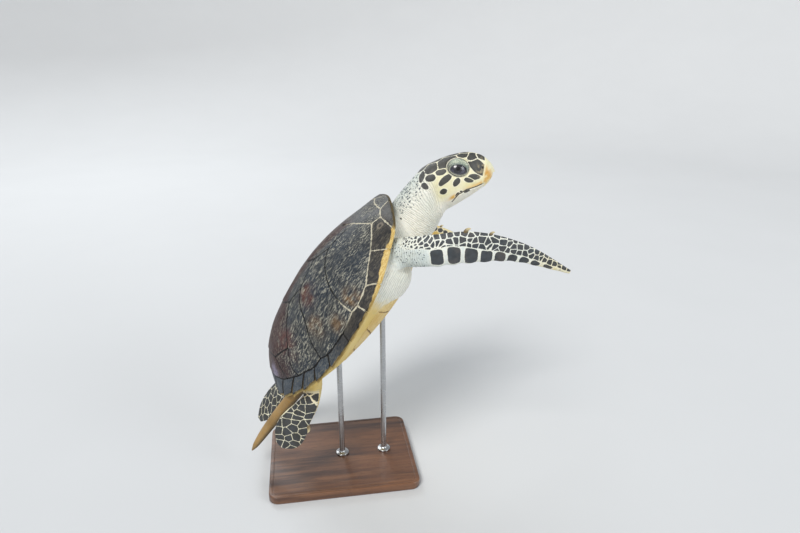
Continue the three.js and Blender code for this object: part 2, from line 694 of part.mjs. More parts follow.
const pitch = radians(BODY_PITCH);
const [tailTipX, tailTipZ] = TAIL_PATH.at(-1);
const bodyLift = BASE_THICKNESS + TAIL_CLEARANCE
  - (tailTipX * sin(pitch) + tailTipZ * cos(pitch)) * SHELL_LENGTH + 8;

/** Place on the finished model of a point of the flat body, x and z as fractions. */
function pitched(x, z) {
  return [
    (x * cos(pitch) - z * sin(pitch) - BODY_FORWARD) * SHELL_LENGTH,
    (x * sin(pitch) + z * cos(pitch)) * SHELL_LENGTH + bodyLift,
  ];
}
/** Flat base with round corners and a bevelled upper edge. */
function standBase() {
  const shape = new THREE.Shape();
  const x = BASE_LENGTH / 2;
  const y = BASE_WIDTH / 2;
  for (const [cx, cy, from] of [[1, 1, 0], [-1, 1, 1], [-1, -1, 2], [1, -1, 3]]) {
    const start = (from * PI) / 2;
    shape.absarc(cx * (x - BASE_CORNER), cy * (y - BASE_CORNER), BASE_CORNER, start, start + PI / 2);
  }
  const bevel = 4;
  const slab = new THREE.ExtrudeGeometry(shape, {
    depth: BASE_THICKNESS - 2 * bevel, bevelSize: bevel, bevelThickness: bevel, bevelOffset: -bevel,
    bevelSegments: 1, curveSegments: 5,
  });
  slab.translate(0, 0, bevel);
  return piece('stand_base', toGeometry(toSolid(slab)), COLOURS.wood, 0.45);
}

/** Upright rod from a collar on the base to a round pad shaped to the belly. */
function standRod(name, place, belly) {
  const face = through(BELLY_MIDDLE, place);
  const lean = Math.atan2(through(BELLY_MIDDLE, place + 0.05) - through(BELLY_MIDDLE, place - 0.05), 0.1);
  const [x, z] = pitched(place, face);
  const tilt = lean + pitch;
  const outX = sin(tilt);
  const outZ = -cos(tilt);
  const pad = new THREE.CylinderGeometry(PAD_RADIUS, PAD_RADIUS, PAD_THICKNESS, 18);
  pad.rotateX(PI / 2);
  pad.rotateY(-tilt);
  const reach = PAD_THICKNESS / 2 - 1;
  pad.translate(x + outX * reach, 0, z + outZ * reach);
  const foot = BASE_THICKNESS + JOINT_GAP;
  const top = z + outZ * reach;
  const profile = [
    [0, foot], [ROD_RADIUS * 2.4, foot], [ROD_RADIUS * 2.4, foot + 5], [ROD_RADIUS * 1.5, foot + 8],
    [ROD_RADIUS, foot + 10], [ROD_RADIUS, top], [0, top],
  ].map(([r, h]) => new THREE.Vector2(r, h));
  const rod = new THREE.LatheGeometry(profile, 16);
  rod.rotateX(PI / 2);
  rod.translate(x + outX * reach, 0, 0);
  const joined = toGeometry(toSolid(rod).add(toSolid(pad)));
  return piece(name, cutBy(joined, belly), COLOURS.steel, 0.3, 1);
}

// ---- Assembly -------------------------------------------------------------------------------

const body = new THREE.Group();
const bodyCutter = trunk(JOINT_GAP);
const bellyCutter = plastron(JOINT_GAP);
body.add(piece('trunk', cutBy(trunk(), bellyCutter), COLOURS.skin));
body.add(piece('plastron', plastron(), COLOURS.belly));
body.add(piece('neck', neck(bodyCutter, bellyCutter), COLOURS.skin));
body.add(...middlePlates(), ...sidePlates('left'), ...sidePlates('right'), ...endPlates());
body.add(headPieces(), ...flippers(bodyCutter), tail(bodyCutter));
body.rotation.y = -pitch;
body.position.set(-BODY_FORWARD * SHELL_LENGTH, 0, bodyLift);

body.updateMatrix();
const bellyOnStand = bellyCutter.clone().applyMatrix4(body.matrix);

const turtle = new THREE.Group();
turtle.add(body, standBase());
turtle.add(standRod('stand_rod_front', FRONT_ROD_PLACE, bellyOnStand));
turtle.add(standRod('stand_rod_rear', REAR_ROD_PLACE, bellyOnStand));

export default turtle;
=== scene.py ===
# A life-size hawksbill sea turtle on its display stand.
import bpy
import numpy as np
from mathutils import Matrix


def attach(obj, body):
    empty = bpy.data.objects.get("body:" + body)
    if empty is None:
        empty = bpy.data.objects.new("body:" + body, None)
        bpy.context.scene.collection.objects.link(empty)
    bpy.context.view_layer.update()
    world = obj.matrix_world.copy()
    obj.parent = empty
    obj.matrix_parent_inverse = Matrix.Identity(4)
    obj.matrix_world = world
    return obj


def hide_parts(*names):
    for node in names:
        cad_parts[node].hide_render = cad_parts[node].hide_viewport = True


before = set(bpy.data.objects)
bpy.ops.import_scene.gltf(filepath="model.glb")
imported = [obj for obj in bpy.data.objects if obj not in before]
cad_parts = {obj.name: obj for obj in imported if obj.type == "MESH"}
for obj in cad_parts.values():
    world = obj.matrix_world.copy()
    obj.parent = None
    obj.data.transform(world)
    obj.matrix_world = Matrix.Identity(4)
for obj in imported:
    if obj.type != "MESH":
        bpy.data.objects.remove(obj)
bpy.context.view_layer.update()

# ---- Camera, light and floor ----------------------------------------------------------------
# The camera looks a little down on the right side of the animal. A wide soft key light comes
# over the camera's left shoulder, with a weaker one from the right and one from behind.

CAMERA_PLACE = (-0.072, -1.5484, 1.187)
CAMERA_AZIMUTH = -9.26
CAMERA_FALL = 19.82
CAMERA_LENS = 27
CAMERA_FILM = 36

scene = bpy.context.scene
camera_data = bpy.data.cameras.new("camera")
camera_data.lens = CAMERA_LENS
camera_data.sensor_width = CAMERA_FILM
camera = bpy.data.objects.new("camera", camera_data)
camera.location = CAMERA_PLACE
camera.rotation_euler = np.radians([90 - CAMERA_FALL, 0, CAMERA_AZIMUTH])
scene.collection.objects.link(camera)
scene.camera = camera
scene.view_settings.view_transform = "Standard"

# Each light: where it stands, what it points at, its width, its watts and its colour.
SOFT_BOXES = {
    "fill_light": ((6.6, -5.2, 4.6), (0.1, 0, 0.45), 4.0, 260, (0.95, 0.98, 1.0)),
    "rim_light": ((-2.5, 5.5, 5.5), (0.1, 0, 0.5), 3.8, 225, (0.95, 0.98, 1.0)),
}
KEY_TURN = (44, 0, -38)
KEY_STRENGTH = 2.25
KEY_SPREAD = 22
KEY_COLOUR = (1.0, 0.985, 0.96)
SKY_COLOUR = (0.9, 0.93, 0.96, 1)
SKY_STRENGTH = 0.42

sun = bpy.data.lights.new("key_light", "SUN")
sun.energy = KEY_STRENGTH
sun.angle = np.radians(KEY_SPREAD)
sun.color = KEY_COLOUR
key = bpy.data.objects.new("key_light", sun)
key.rotation_euler = np.radians(KEY_TURN)
scene.collection.objects.link(key)
for name, (place, target, width, watts, colour) in SOFT_BOXES.items():
    light = bpy.data.lights.new(name, "AREA")
    light.size = width
    light.energy = watts
    light.color = colour
    lamp = bpy.data.objects.new(name, light)
    way = np.subtract(target, place)
    flat_run = np.hypot(way[0], way[1])
    lamp.location = place
    lamp.rotation_euler = (np.arctan2(flat_run, -way[2]), 0, np.arctan2(-way[0], way[1]))
    scene.collection.objects.link(lamp)

world = bpy.data.worlds.new("surround")
world.use_nodes = True
sky = world.node_tree.nodes["Background"].inputs
sky["Color"].default_value = SKY_COLOUR
sky["Strength"].default_value = SKY_STRENGTH
scene.world = world


def linear(hexadecimal):
    """Linear colour of a hexadecimal one: each channel through the usual display curve."""
    value = np.array([int(hexadecimal[i:i + 2], 16) for i in (0, 2, 4)]) / 255
    return (*np.where(value < 0.04045, value / 12.92, ((value + 0.055) / 1.055) ** 2.4), 1.0)


def new_finish(name):
    """A material, its shader, and a function that adds a node to it: the node's kind, what each
    of its sockets holds or is linked to, and its settings."""
    material = bpy.data.materials.new(name)
    material.use_nodes = True
    tree = material.node_tree

    def add(kind, sockets=(), **settings):
        made = tree.nodes.new("ShaderNode" + kind)
        for key, value in settings.items():
            setattr(made, key, value)
        for key, value in dict(sockets).items():
            if isinstance(value, bpy.types.NodeSocket):
                tree.links.new(value, made.inputs[key])
            else:
                made.inputs[key].default_value = value
        return made

    return material, tree.nodes["Principled BSDF"], add


def set_shader(material, shader, sockets):
    """Sets or links the shader's own sockets."""
    for key, value in sockets.items():
        if isinstance(value, bpy.types.NodeSocket):
            material.node_tree.links.new(value, shader.inputs[key])
        else:
            shader.inputs[key].default_value = value


def mixed(add, share, below, above):
    """Colour from `below` to `above` by a share from 0 to 1."""
    return add("Mix", {0: share, 6: below, 7: above}, data_type="RGBA").outputs[2]


def object_place(add):
    """Place of each point shaded, in metres."""
    return add("TexCoord").outputs["Object"]


def speckle(add, place, scale, detail=4.0, rough=0.55):
    """Noise from 0 to 1 over `place`, with one scale or its own along each of the three directions."""
    scale = np.broadcast_to(scale, 3).tolist()
    stretched = add("Mapping", {"Vector": place, "Scale": scale}).outputs[0]
    sockets = {"Vector": stretched, "Scale": 1.0, "Detail": detail, "Roughness": rough}
    return add("TexNoise", sockets).outputs[0]


floor_finish, shader, add = new_finish("floor_paint")
cloud = speckle(add, object_place(add), 1.5, detail=3.0)
paint = mixed(add, cloud, linear("c7c9cb"), linear("cbcdcf"))
set_shader(floor_finish, shader, {"Base Color": paint, "Roughness": 0.8})


def mesh_piece(name, points, triangles, material, **values):
    """Smooth mesh object at the origin, faces turned out, with a value at each point for every
    further array: one number, a place or a colour with four channels."""
    a, b, c = points[triangles[:, 0]], points[triangles[:, 1]], points[triangles[:, 2]]
    if np.einsum("ij,ij->", a, np.cross(b, c)) < 0:
        triangles = triangles[:, ::-1]
    mesh = bpy.data.meshes.new(name)
    mesh.vertices.add(len(points))
    mesh.vertices.foreach_set("co", points.astype(np.float32).ravel())
    mesh.loops.add(triangles.size)
    mesh.loops.foreach_set("vertex_index", triangles.astype(np.int32).ravel())
    mesh.polygons.add(len(triangles))
    mesh.polygons.foreach_set("loop_start", np.arange(0, triangles.size, 3, dtype=np.int32))
    mesh.update(calc_edges=True)
    mesh.validate()
    mesh.materials.append(material)
    mesh.shade_smooth()
    add_values(mesh, **values)
    made = bpy.data.objects.new(name, mesh)
    scene.collection.objects.link(made)
    return made


def add_values(mesh, **values):
    """Stores each array on the mesh's points under its own name."""
    kinds = {1: ("FLOAT", "value"), 3: ("FLOAT_VECTOR", "vector"), 4: ("FLOAT_COLOR", "color")}
    for name, array in values.items():
        kind, field = kinds[1 if array.ndim == 1 else array.shape[1]]
        layer = mesh.attributes.new(name, kind, "POINT")
        layer.data.foreach_set(field, array.astype(np.float32).ravel())


def grid_faces(rows, columns, around=True):
    """Triangles of a grid of points, row by row; the last column meets the first if around."""
    wide = columns if around else columns - 1
    row, column = np.meshgrid(np.arange(rows - 1), np.arange(wide), indexing="ij")
    a = (row * columns + column).ravel()
    b = (row * columns + (column + 1) % columns).ravel()
    return np.concatenate([np.stack([a, b, b + columns], 1), np.stack([a, b + columns, a + columns], 1)])


def fan(ring, middle, turned=False):
    """Triangles from a ring of points to one middle point."""
    after = np.roll(ring, -1)
    sides = (after, ring) if turned else (ring, after)
    return np.stack([np.full(len(ring), middle), *sides], 1)


def full_turn(count):
    """Angles once round, in even steps."""
    return np.linspace(0, 2 * np.pi, count, endpoint=False)


def closed_over(rings):
    """Points and triangles of the skin over a stack of rings, shut by a fan at either end."""
    rows, columns = rings.shape[:2]
    points = np.concatenate([rings.reshape(-1, 3), rings[:1].mean(1), rings[-1:].mean(1)])
    first, last = np.arange(columns), np.arange(columns) + (rows - 1) * columns
    ends = [fan(first, rows * columns, turned=True), fan(last, rows * columns + 1)]
    return points, np.concatenate([grid_faces(rows, columns), *ends])


# The floor is one wide shallow bowl: flat for some metres round the stand, then curving up all
# round so that no horizon shows behind the animal.
FLOOR_MIDDLE = 0.5
FLOOR_FLAT = 6.0
FLOOR_REACH = 13.0
FLOOR_RISE = 4.2
FLOOR_THICKNESS = 0.05
FLOOR_RINGS = 25
FLOOR_SIDES = 96

floor_run = np.concatenate([[FLOOR_MIDDLE], np.linspace(FLOOR_FLAT, FLOOR_REACH, FLOOR_RINGS)])
floor_up = FLOOR_RISE * np.clip((floor_run - FLOOR_FLAT) / (FLOOR_REACH - FLOOR_FLAT), 0, 1) ** 2
floor_run, floor_up = floor_run[:, None], floor_up[:, None]
turn = full_turn(FLOOR_SIDES)[None]
top = np.stack([floor_run * np.cos(turn), floor_run * np.sin(turn), floor_up + 0 * turn], -1)
under = top[::-1] - [0, 0, FLOOR_THICKNESS]
floor = mesh_piece("floor", *closed_over(np.concatenate([top, under])), floor_finish)

# ---- Back plates ----------------------------------------------------------------------------
# Five middle plates over the spine and four side plates on each flank: thin horn on a bony
# shell, grown in rings, each rear edge lying a little proud of the next plate.

# The animal is worked out lying flat, x from the tail end of the shell to its front edge, y to
# its left and z to its back, in shell lengths, and is then pitched up on the stand.
SHELL_LENGTH = 0.640
BODY_PITCH = np.radians(61)
BODY_FORWARD = 0.21
BASE_THICKNESS = 0.024
TAIL_CLEARANCE = 0.042
TAIL_PATH = [
    [0.14, 0, -0.02], [0.04, 0, -0.012], [-0.1, 0, 0.012], [-0.23, 0, 0.032], [-0.345, 0, 0.043],
]
MM = 0.001 / SHELL_LENGTH

pitch_cos, pitch_sin = np.cos(BODY_PITCH), np.sin(BODY_PITCH)
tail_drop = (TAIL_PATH[-1][0] * pitch_sin + TAIL_PATH[-1][2] * pitch_cos) * SHELL_LENGTH
body_lift = BASE_THICKNESS + TAIL_CLEARANCE - tail_drop


def pitched(flat, way=1):
    """Places or directions turned up by the animal's pitch, or back down if `way` is -1."""
    x, y, z = np.moveaxis(np.asarray(flat, float), -1, 0)
    turned_sin = way * pitch_sin
    return np.stack([x * pitch_cos - z * turned_sin, y, x * turned_sin + z * pitch_cos], -1)


def on_stand(flat):
    """Places on the stand, in metres: turned by the pitch, then moved, scaled and lifted."""
    return (pitched(flat) - [BODY_FORWARD, 0, 0]) * SHELL_LENGTH + [0, 0, body_lift]


RIM_HALF_WIDTH = 0.377
SHOULDER_FLARE = 0.148
RIDGE_HEIGHT = 0.237
RIDGE_PEAK = 0.427


def rim_plan(degrees):
    """Rim in plan at an angle from the front (0) round one side to the rear (180): an egg of
    cosines with a bell-shaped swelling at the shoulder."""
    t = np.radians(degrees)
    egg = (1 + 0.143 * np.cos(t) - 0.021 * np.cos(2 * t)) / 1.03
    flare = SHOULDER_FLARE * np.exp(-(((degrees - 24) / 13) ** 2))
    return np.stack([0.5 + 0.5 * np.cos(t), (RIM_HALF_WIDTH * egg + flare) * np.sin(t)], -1)


def rim_half_width(x):
    """Half width of the shell at x."""
    return rim_plan(np.degrees(np.arccos(2 * np.clip(x, 0, 1) - 1)))[..., 1]


def rim_height(x):
    """Height of the rim: level, with parabolas up over the neck and over the tail."""
    return 0.05 * np.clip((x - 0.648) / 0.352, 0, 1) ** 2 + 0.073 * np.clip((0.45 - x) / 0.45, 0, 1) ** 2


def back_height(x, y):
    """Outer face of the back: from the ridge, a power curve along x, down to the rim by a power
    of the distance from the middle."""
    front = x > RIDGE_PEAK
    run = np.where(front, (x - RIDGE_PEAK) / (1 - RIDGE_PEAK), (RIDGE_PEAK - x) / RIDGE_PEAK)
    fall = np.clip(run, 0, 1) ** np.where(front, 2.27, 2.79)
    ridge = RIDGE_HEIGHT + (np.where(front, rim_height(1), rim_height(0)) - RIDGE_HEIGHT) * fall
    across = np.clip(abs(y) / np.maximum(rim_half_width(x), 1e-4), 0, 1)
    return rim_height(x) + (ridge - rim_height(x)) * (1 - across ** 1.86)


def eased(value, low, high):
    """0 below `low`, 1 above `high`, and a smooth cubic between."""
    t = np.clip((value - low) / (high - low), 0, 1)
    return t * t * (3 - 2 * t)


LATTICE = 32  # cells before the random heights repeat


def ripple(places, size, seed):
    """Smooth random height from -1 to 1: random numbers on a lattice of cells of one size, eased
    from corner to corner."""
    lattice = np.random.default_rng(seed).uniform(-1, 1, (LATTICE,) * 3)
    cell = np.floor(places / size).astype(int)
    t = places / size - cell
    t = t * t * (3 - 2 * t)
    total = np.zeros(places.shape[:-1])
    for corner in np.ndindex(2, 2, 2):
        share = np.prod(np.where(corner, t, 1 - t), axis=-1)
        i, j, k = np.moveaxis((cell + corner) % LATTICE, -1, 0)
        total += share * lattice[i, j, k]
    return total


def spline(corners, u):
    """Curve through the corners at a part u of their row: a centripetal Catmull-Rom spline, with
    each end run on straight."""
    p = np.asarray(corners, float)
    p = np.concatenate([2 * p[:1] - p[1:2], p, 2 * p[-1:] - p[-2:-1]])
    run = np.clip(np.asarray(u), 0, 1) * (len(p) - 3)
    i = np.minimum(run.astype(int), len(p) - 4)
    t = (run - i).reshape(run.shape + (1,) * (p.ndim - 1))
    a, b, c, d = p[i], p[i + 1], p[i + 2], p[i + 3]
    ab, bc, cd = (np.linalg.norm(q - r, axis=-1, keepdims=True) ** 0.5 for q, r in ((a, b), (b, c), (c, d)))
    leave = ((b - a) / ab - (c - a) / (ab + bc) + (c - b) / bc) * bc
    arrive = ((c - b) / bc - (d - b) / (bc + cd) + (d - c) / cd) * bc
    bend = -3 * b + 3 * c - 2 * leave - arrive
    return b + t * leave + t ** 2 * bend + t ** 3 * (2 * b - 2 * c + leave + arrive)


SEAM_STEP = 0.0042


def seam_run(corners, first=0, last=None):
    """Points a step apart on the spline through a seam's corners, from one corner to another."""
    last = len(corners) - 1 if last is None else last
    length = np.linalg.norm(np.diff(corners[min(first, last):max(first, last) + 1], axis=0), axis=1).sum()
    count = max(2, int(round(length / SEAM_STEP)))
    u = np.linspace(first, last, count + 1) / (len(corners) - 1)
    return spline(corners, u)[:-1]


# Angles on the rim where one rim plate ends and the next begins, front to rear, and the seam
# between the rim plates and the rest: two short straight stretches, then one long curve.
RIM_SEAMS = [6, 29, 43, 61, 75, 91, 108, 121, 133, 145, 157, 169]
NECK_CORNERS = [[0.954, 0.09], [0.935, 0.149], [0.896, 0.145]]
INNER_SEAM = [
    [0.896, 0.145], [0.863, 0.193], [0.816, 0.243], [0.751, 0.291], [0.705, 0.32], [0.625, 0.341],
    [0.593, 0.339], [0.559, 0.343], [0.502, 0.345], [0.388, 0.322], [0.352, 0.303], [0.3, 0.286],
    [0.245, 0.252], [0.212, 0.23], [0.19, 0.211], [0.152, 0.175], [0.13, 0.15], [0.1, 0.092],
]
SIDE_SEAMS = [
    [[0.845, 0.06], [0.862, 0.09], [0.896, 0.145]],
    [[0.71, 0.085], [0.671, 0.125], [0.616, 0.214], [0.592, 0.293], [0.593, 0.339]],
    [[0.515, 0.102], [0.468, 0.145], [0.432, 0.205], [0.382, 0.256], [0.352, 0.303]],
    [[0.28, 0.172], [0.245, 0.186], [0.217, 0.205], [0.212, 0.23]],
    [[0.19, 0.105], [0.152, 0.175]],
]
SIDE_ENDS = [0, 6, 10, 13, 15]  # corner of the inner seam where each side seam ends
RIM_ENDS = [2, 4, 5, 8, 9, 11, 12, 14, 16, 17]  # the same for the rim seams from the third on
MIDDLE_SEAMS = [
    [0.949, [0.954, 0.09]], [0.805, [0.845, 0.06]], [0.6, [0.64, 0.058]], [0.392, [0.43, 0.078]],
    [0.168, [0.19, 0.105]], [0.085, [0.1, 0.092]],
]
PLATE_THICKNESS = 7 * MM
SEAM_GAP = 0.16 * MM
CROWDING = 1.8  # power that draws the rings of a plate's mesh together towards its edge
GROWTH_PITCH = 6.5  # millimetres from one ring of growth to the next
GROWTH_HEIGHT = 0.16
GROWTH_FADE = 45
REAR_RISE = 0.9
KEEL_WIDTH = 13 * MM
RIM_REACH = 90  # millimetres from the rim within which a rear edge isn't raised
FAR_MM = 99.0  # a distance that is out of reach of everything


def mirrored(outline):
    """The same outline on the other side of the animal."""
    return np.asarray(outline) * [1, -1]


def middle_seam(number):
    """Seam across the back from one side to the other, curved through its middle."""
    middle, corner = MIDDLE_SEAMS[number]
    return [[corner[0], -corner[1]], [middle, 0], corner]


def plate_mesh(
        runs, height, thickness, rows, rows_inside, seam_round, rim=None, rim_round=3.2, keel=0.0, seed=1):
    """Closed plate on an outline of runs. The face is a fan of rings about the outline's middle,
    closer together towards the edge, lifted to `height`; its edges are rounded over, rings of
    growth follow them, the rear stands proud, and the inner face lies one thickness below."""
    edge = np.concatenate(runs)
    for _ in range(2):
        edge = (np.roll(edge, 1, 0) + 2 * edge + np.roll(edge, -1, 0)) / 4
    way = np.roll(edge, -1, 0) - np.roll(edge, 1, 0)
    inward = np.stack([-way[:, 1], way[:, 0]], 1) / np.linalg.norm(way, axis=1, keepdims=True)
    turn = np.sign(np.einsum("ij,ij->", edge - edge.mean(0), -inward))
    edge = edge + inward * turn * SEAM_GAP
    centre = edge.mean(0)
    size = np.ptp(edge, axis=0)

    def on_face(part, depth):
        plan = centre + part[:, None, None] * (edge - centre)
        x, y = plan[..., 0], plan[..., 1]
        return np.stack([x, y, height(x, y) - depth], -1).reshape(-1, 3)

    outer = 1 - (1 - np.arange(1, rows + 1) / rows) ** CROWDING
    inner = (1 - (1 - np.arange(1, rows_inside + 1) / rows_inside) ** CROWDING)[::-1]
    top, below = on_face(outer, 0.0), on_face(inner, thickness)
    middle = on_face(np.zeros(1), 0.0)[:1]
    places = np.concatenate([top, below, middle, middle - [0, 0, thickness]])
    under = np.concatenate([np.zeros(len(top)), np.ones(len(below)), [0.0, 1.0]])
    border = on_face(np.ones(1), 0.0)
    flat = places + np.outer(under, [0, 0, thickness])
    edge_mm = np.linalg.norm(flat[:, None] - border[None], axis=-1).min(1) / MM
    rim_mm = np.full(len(places), FAR_MM)
    if rim is not None:
        brim = np.concatenate([rim, height(rim[:, :1], rim[:, 1:])], 1)
        rim_mm = np.linalg.norm(flat[:, None] - brim[None], axis=-1).min(1) / MM

    x, y = flat[:, 0], flat[:, 1]
    small = 0.002
    slope = [(height(x + small, y) - height(x - small, y)), (height(x, y + small) - height(x, y - small))]
    out = np.stack([-slope[0], -slope[1], np.full(len(x), 2 * small)], 1)
    out *= np.sign(thickness) / np.linalg.norm(out, axis=1, keepdims=True)
    radius = seam_round + (rim_round - seam_round) * np.exp(-(rim_mm / 5) ** 2)
    near = np.clip(edge_mm, 0, radius)
    rounded = radius - np.sqrt(np.maximum(radius ** 2 - (radius - near) ** 2, 0))
    rear = (centre[0] - x) / (size[0] / 2)
    mm = flat / MM
    wander = ripple(mm, 30.0, seed)
    ring = np.sin(2 * np.pi * (edge_mm + 2.5 * wander) / GROWTH_PITCH)
    grown = GROWTH_HEIGHT * ring * np.exp(-edge_mm / GROWTH_FADE)
    proud = REAR_RISE * np.clip(rear, 0, 1) ** 3 * (rim_mm > RIM_REACH)
    proud = proud + 0.45 * wander + 0.2 * ripple(mm, 11.0, seed + 1)
    raised = keel * np.exp(-(y / KEEL_WIDTH) ** 2) * (0.55 + 0.45 * rear)
    lift = (grown + proud + raised) * eased(edge_mm, 0, 4) * (1 - under) - rounded * np.where(under, -1, 1)
    places = places + out * (lift * MM)[:, None]

    columns = len(edge)
    rings = rows + rows_inside
    faces = np.concatenate([
        grid_faces(rings, columns),
        fan(np.arange(columns), rings * columns, turned=True),
        fan(np.arange(columns) + (rings - 1) * columns, rings * columns + 1),
    ])
    return places, faces, {"edge": edge_mm, "rim": rim_mm, "under": under}


def shade(low, high, share):
    """Colour between two hexadecimal ones at each point's share."""
    low, high = np.array(linear(low)), np.array(linear(high))
    return low + (high - low) * np.clip(share, 0, 1)[:, None]


def laid(under, over, share):
    """One colour laid over another by each point's share."""
    return under + (over - under) * np.clip(share, 0, 1)[:, None]


RUSTY_PATCHES = [  # place along the shell and from its middle, reach, colour and strength
    (0.52, 0.155, 0.035, "5e2f22", 0.8), (0.45, 0.25, 0.03, "7a5b3c", 0.5),
    (0.52, 0.32, 0.025, "8a6a42", 0.5), (0.64, 0.315, 0.03, "8f6a3a", 0.6),
    (0.29, 0.15, 0.05, "57271f", 0.7), (0.115, 0.09, 0.03, "8d86a0", 0.7),
]


def shell_colours(flat):
    """Ground colour of the back at each place, before streaks: slate, with a red-brown band over
    the spine that widens to the rear and a few rusty patches; how pale the seams are there, and
    how strong the streaks."""
    x, y = flat[:, 0], flat[:, 1]
    mm = flat / MM
    cloud = 0.6 * ripple(mm, 60.0, 11) + 0.4 * ripple(mm, 22.0, 12)
    ground = shade("27313d", "3a3c3d", 0.5 + 0.9 * cloud)
    spine = 0.05 + 0.14 * eased(-x, -0.5, -0.2)
    red = (1 - eased(abs(y) / spine + 0.35 * cloud, 0.45, 1.2)) * 0.95 * eased(-x, -0.9, -0.8)
    ground = laid(ground, linear("34100b"), red)
    for px, py, reach, colour, strength in RUSTY_PATCHES:
        near = np.exp(-((x - px) ** 2 + (abs(y) - py) ** 2) / reach ** 2)
        share = strength * np.clip(near * (1.1 + 1.2 * ripple(mm, 12.0, 13)), 0, 1)
        ground = laid(ground, linear(colour), share)
    ground *= 1 - 0.35 * eased(x, 0.76, 0.92)[:, None]
    across = abs(y) / np.maximum(rim_half_width(x), 1e-3)
    pale = np.maximum(eased(x, 0.8, 0.86), eased(x, 0.5, 0.6) * eased(across, 0.72, 0.8))
    return ground, pale, 1 - 0.72 * red


def between(add, value, low, high, to_low=0.0, to_high=1.0):
    """Value carried smoothly from the range low-high to the range to_low-to_high."""
    sockets = {0: value, 1: low, 2: high, 3: to_low, 4: to_high}
    return add("MapRange", sockets, interpolation_type="SMOOTHSTEP").outputs[0]


def reckoned(add, operation, first, second):
    """One sum, product or the like of two values."""
    return add("Math", {0: first, 1: second}, operation=operation).outputs[0]


def stored(add, *names, kind="Fac"):
    """What is stored on the mesh's points under each name: values, colours or places."""
    return [add("Attribute", attribute_name=name).outputs[kind] for name in names]


def bumped(add, height, strength, distance):
    """Fine relief by a height from 0 to about 1, with its full depth in metres."""
    return add("Bump", {"Strength": strength, "Distance": distance, "Height": height}).outputs[0]


def horn_finish(name, streak, fleck, seam, share, pale=1.0):
    """Finish of the shell plates: the ground colour, streaked along the shell with pale and dark
    flecks, then the seams and the rim's yellow band by their distance from the edge. The dark seam
    colour is partly the seams' own and partly painted shade of each plate's overlapping edge."""
    material, shader, add = new_finish(name)
    ground = stored(add, "ground", kind="Color")[0]
    lie = stored(add, "lie", kind="Vector")[0]
    edge, paleness, band, streaky = stored(add, "edge", "pale", "band", "streaky")
    paleness = reckoned(add, "MULTIPLY", paleness, pale)
    streaks = speckle(add, lie, (68, 270, 270), detail=4.0, rough=0.7)
    clumps = speckle(add, lie, (14, 30, 30), detail=3.0)
    flecks = speckle(add, lie, (210, 620, 620), detail=3.0, rough=0.75)
    wobble = speckle(add, lie, 120, detail=4.0, rough=0.6)
    cloud = between(add, clumps, 0.36, 0.6, 0.25, 1.0)
    pale_share = reckoned(add, "MULTIPLY", between(add, streaks, 0.49, 0.62, 0.0, share), cloud)
    pale_share = reckoned(add, "MULTIPLY", pale_share, streaky)
    colour = mixed(add, pale_share, ground, linear(streak))
    colour = mixed(add, between(add, flecks, 0.53, 0.64, 0.0, 0.7), colour, linear(fleck))
    colour = mixed(add, between(add, streaks, 0.45, 0.34, 0.0, 0.75), colour, linear(fleck))
    reach = reckoned(add, "ADD", edge, between(add, wobble, 0.3, 0.7, -1.1, 1.1))
    dark_share = reckoned(add, "SUBTRACT", 1.0, paleness)
    # Dark seams: partly the seams' own colour, partly painted shade where one plate lies over the next.
    dark_seam_and_shade = reckoned(add, "MULTIPLY", between(add, reach, 2.9, 1.1), dark_share)
    colour = mixed(add, dark_seam_and_shade, colour, linear(seam))
    amber = mixed(add, between(add, streaks, 0.4, 0.6), linear("c3a055"), linear("ddc583"))
    colour = mixed(add, band, colour, amber)
    pale_seam = reckoned(add, "MULTIPLY", between(add, reach, 2.1, 1.1, 0.0, 0.88), paleness)
    colour = mixed(add, pale_seam, colour, linear("d6cfb8"))
    rings = reckoned(add, "SINE", reckoned(add, "MULTIPLY", reach, 2.4), 0.0)
    fading = between(add, edge, 34.0, 2.0, 0.0, 0.12)
    relief = reckoned(add, "ADD", reckoned(add, "MULTIPLY", rings, fading), streaks)
    relief = reckoned(add, "ADD", relief, reckoned(add, "MULTIPLY", flecks, 0.45))
    set_shader(material, shader, {
        "Base Color": colour, "Roughness": between(add, clumps, 0.3, 0.7, 0.42, 0.6),
        "Normal": bumped(add, relief, 0.55, 0.0011),
        "Specular IOR Level": 0.3, "Coat Weight": 0.05, "Coat Roughness": 0.3,
    })
    return material


def shell_piece(name, material, meshes, band=0.0, ground=None):
    """One piece of one or more plates, coloured, placed on the stand and tied to the frame."""
    points, faces, values, count = [], [], {}, 0
    for places, triangles, given in meshes:
        points.append(places)
        faces.append(triangles + count)
        count += len(places)
        for key, array in given.items():
            values.setdefault(key, []).append(array)
    flat = np.concatenate(points)
    values = {key: np.concatenate(arrays) for key, arrays in values.items()}
    colours, pale, values["streaky"] = shell_colours(flat)
    values["ground"] = colours if ground is None else ground(flat)
    values["pale"] = pale * eased(values["rim"], 3, 9)
    values["lie"] = flat * SHELL_LENGTH
    values["band"] = band(flat, values) if callable(band) else np.full(len(flat), band)
    values.pop("under")
    made = mesh_piece("horn_of_" + name, on_stand(flat), np.concatenate(faces), material, **values)
    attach(made, "root")
    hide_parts(name)


back_horn = horn_finish("back_horn", "b3b09f", "12151a", "0c0b0b", 0.8)
BACK_MESH = (30, 4, 1.0)  # rings on the outer and the inner face, and the rounding in millimetres

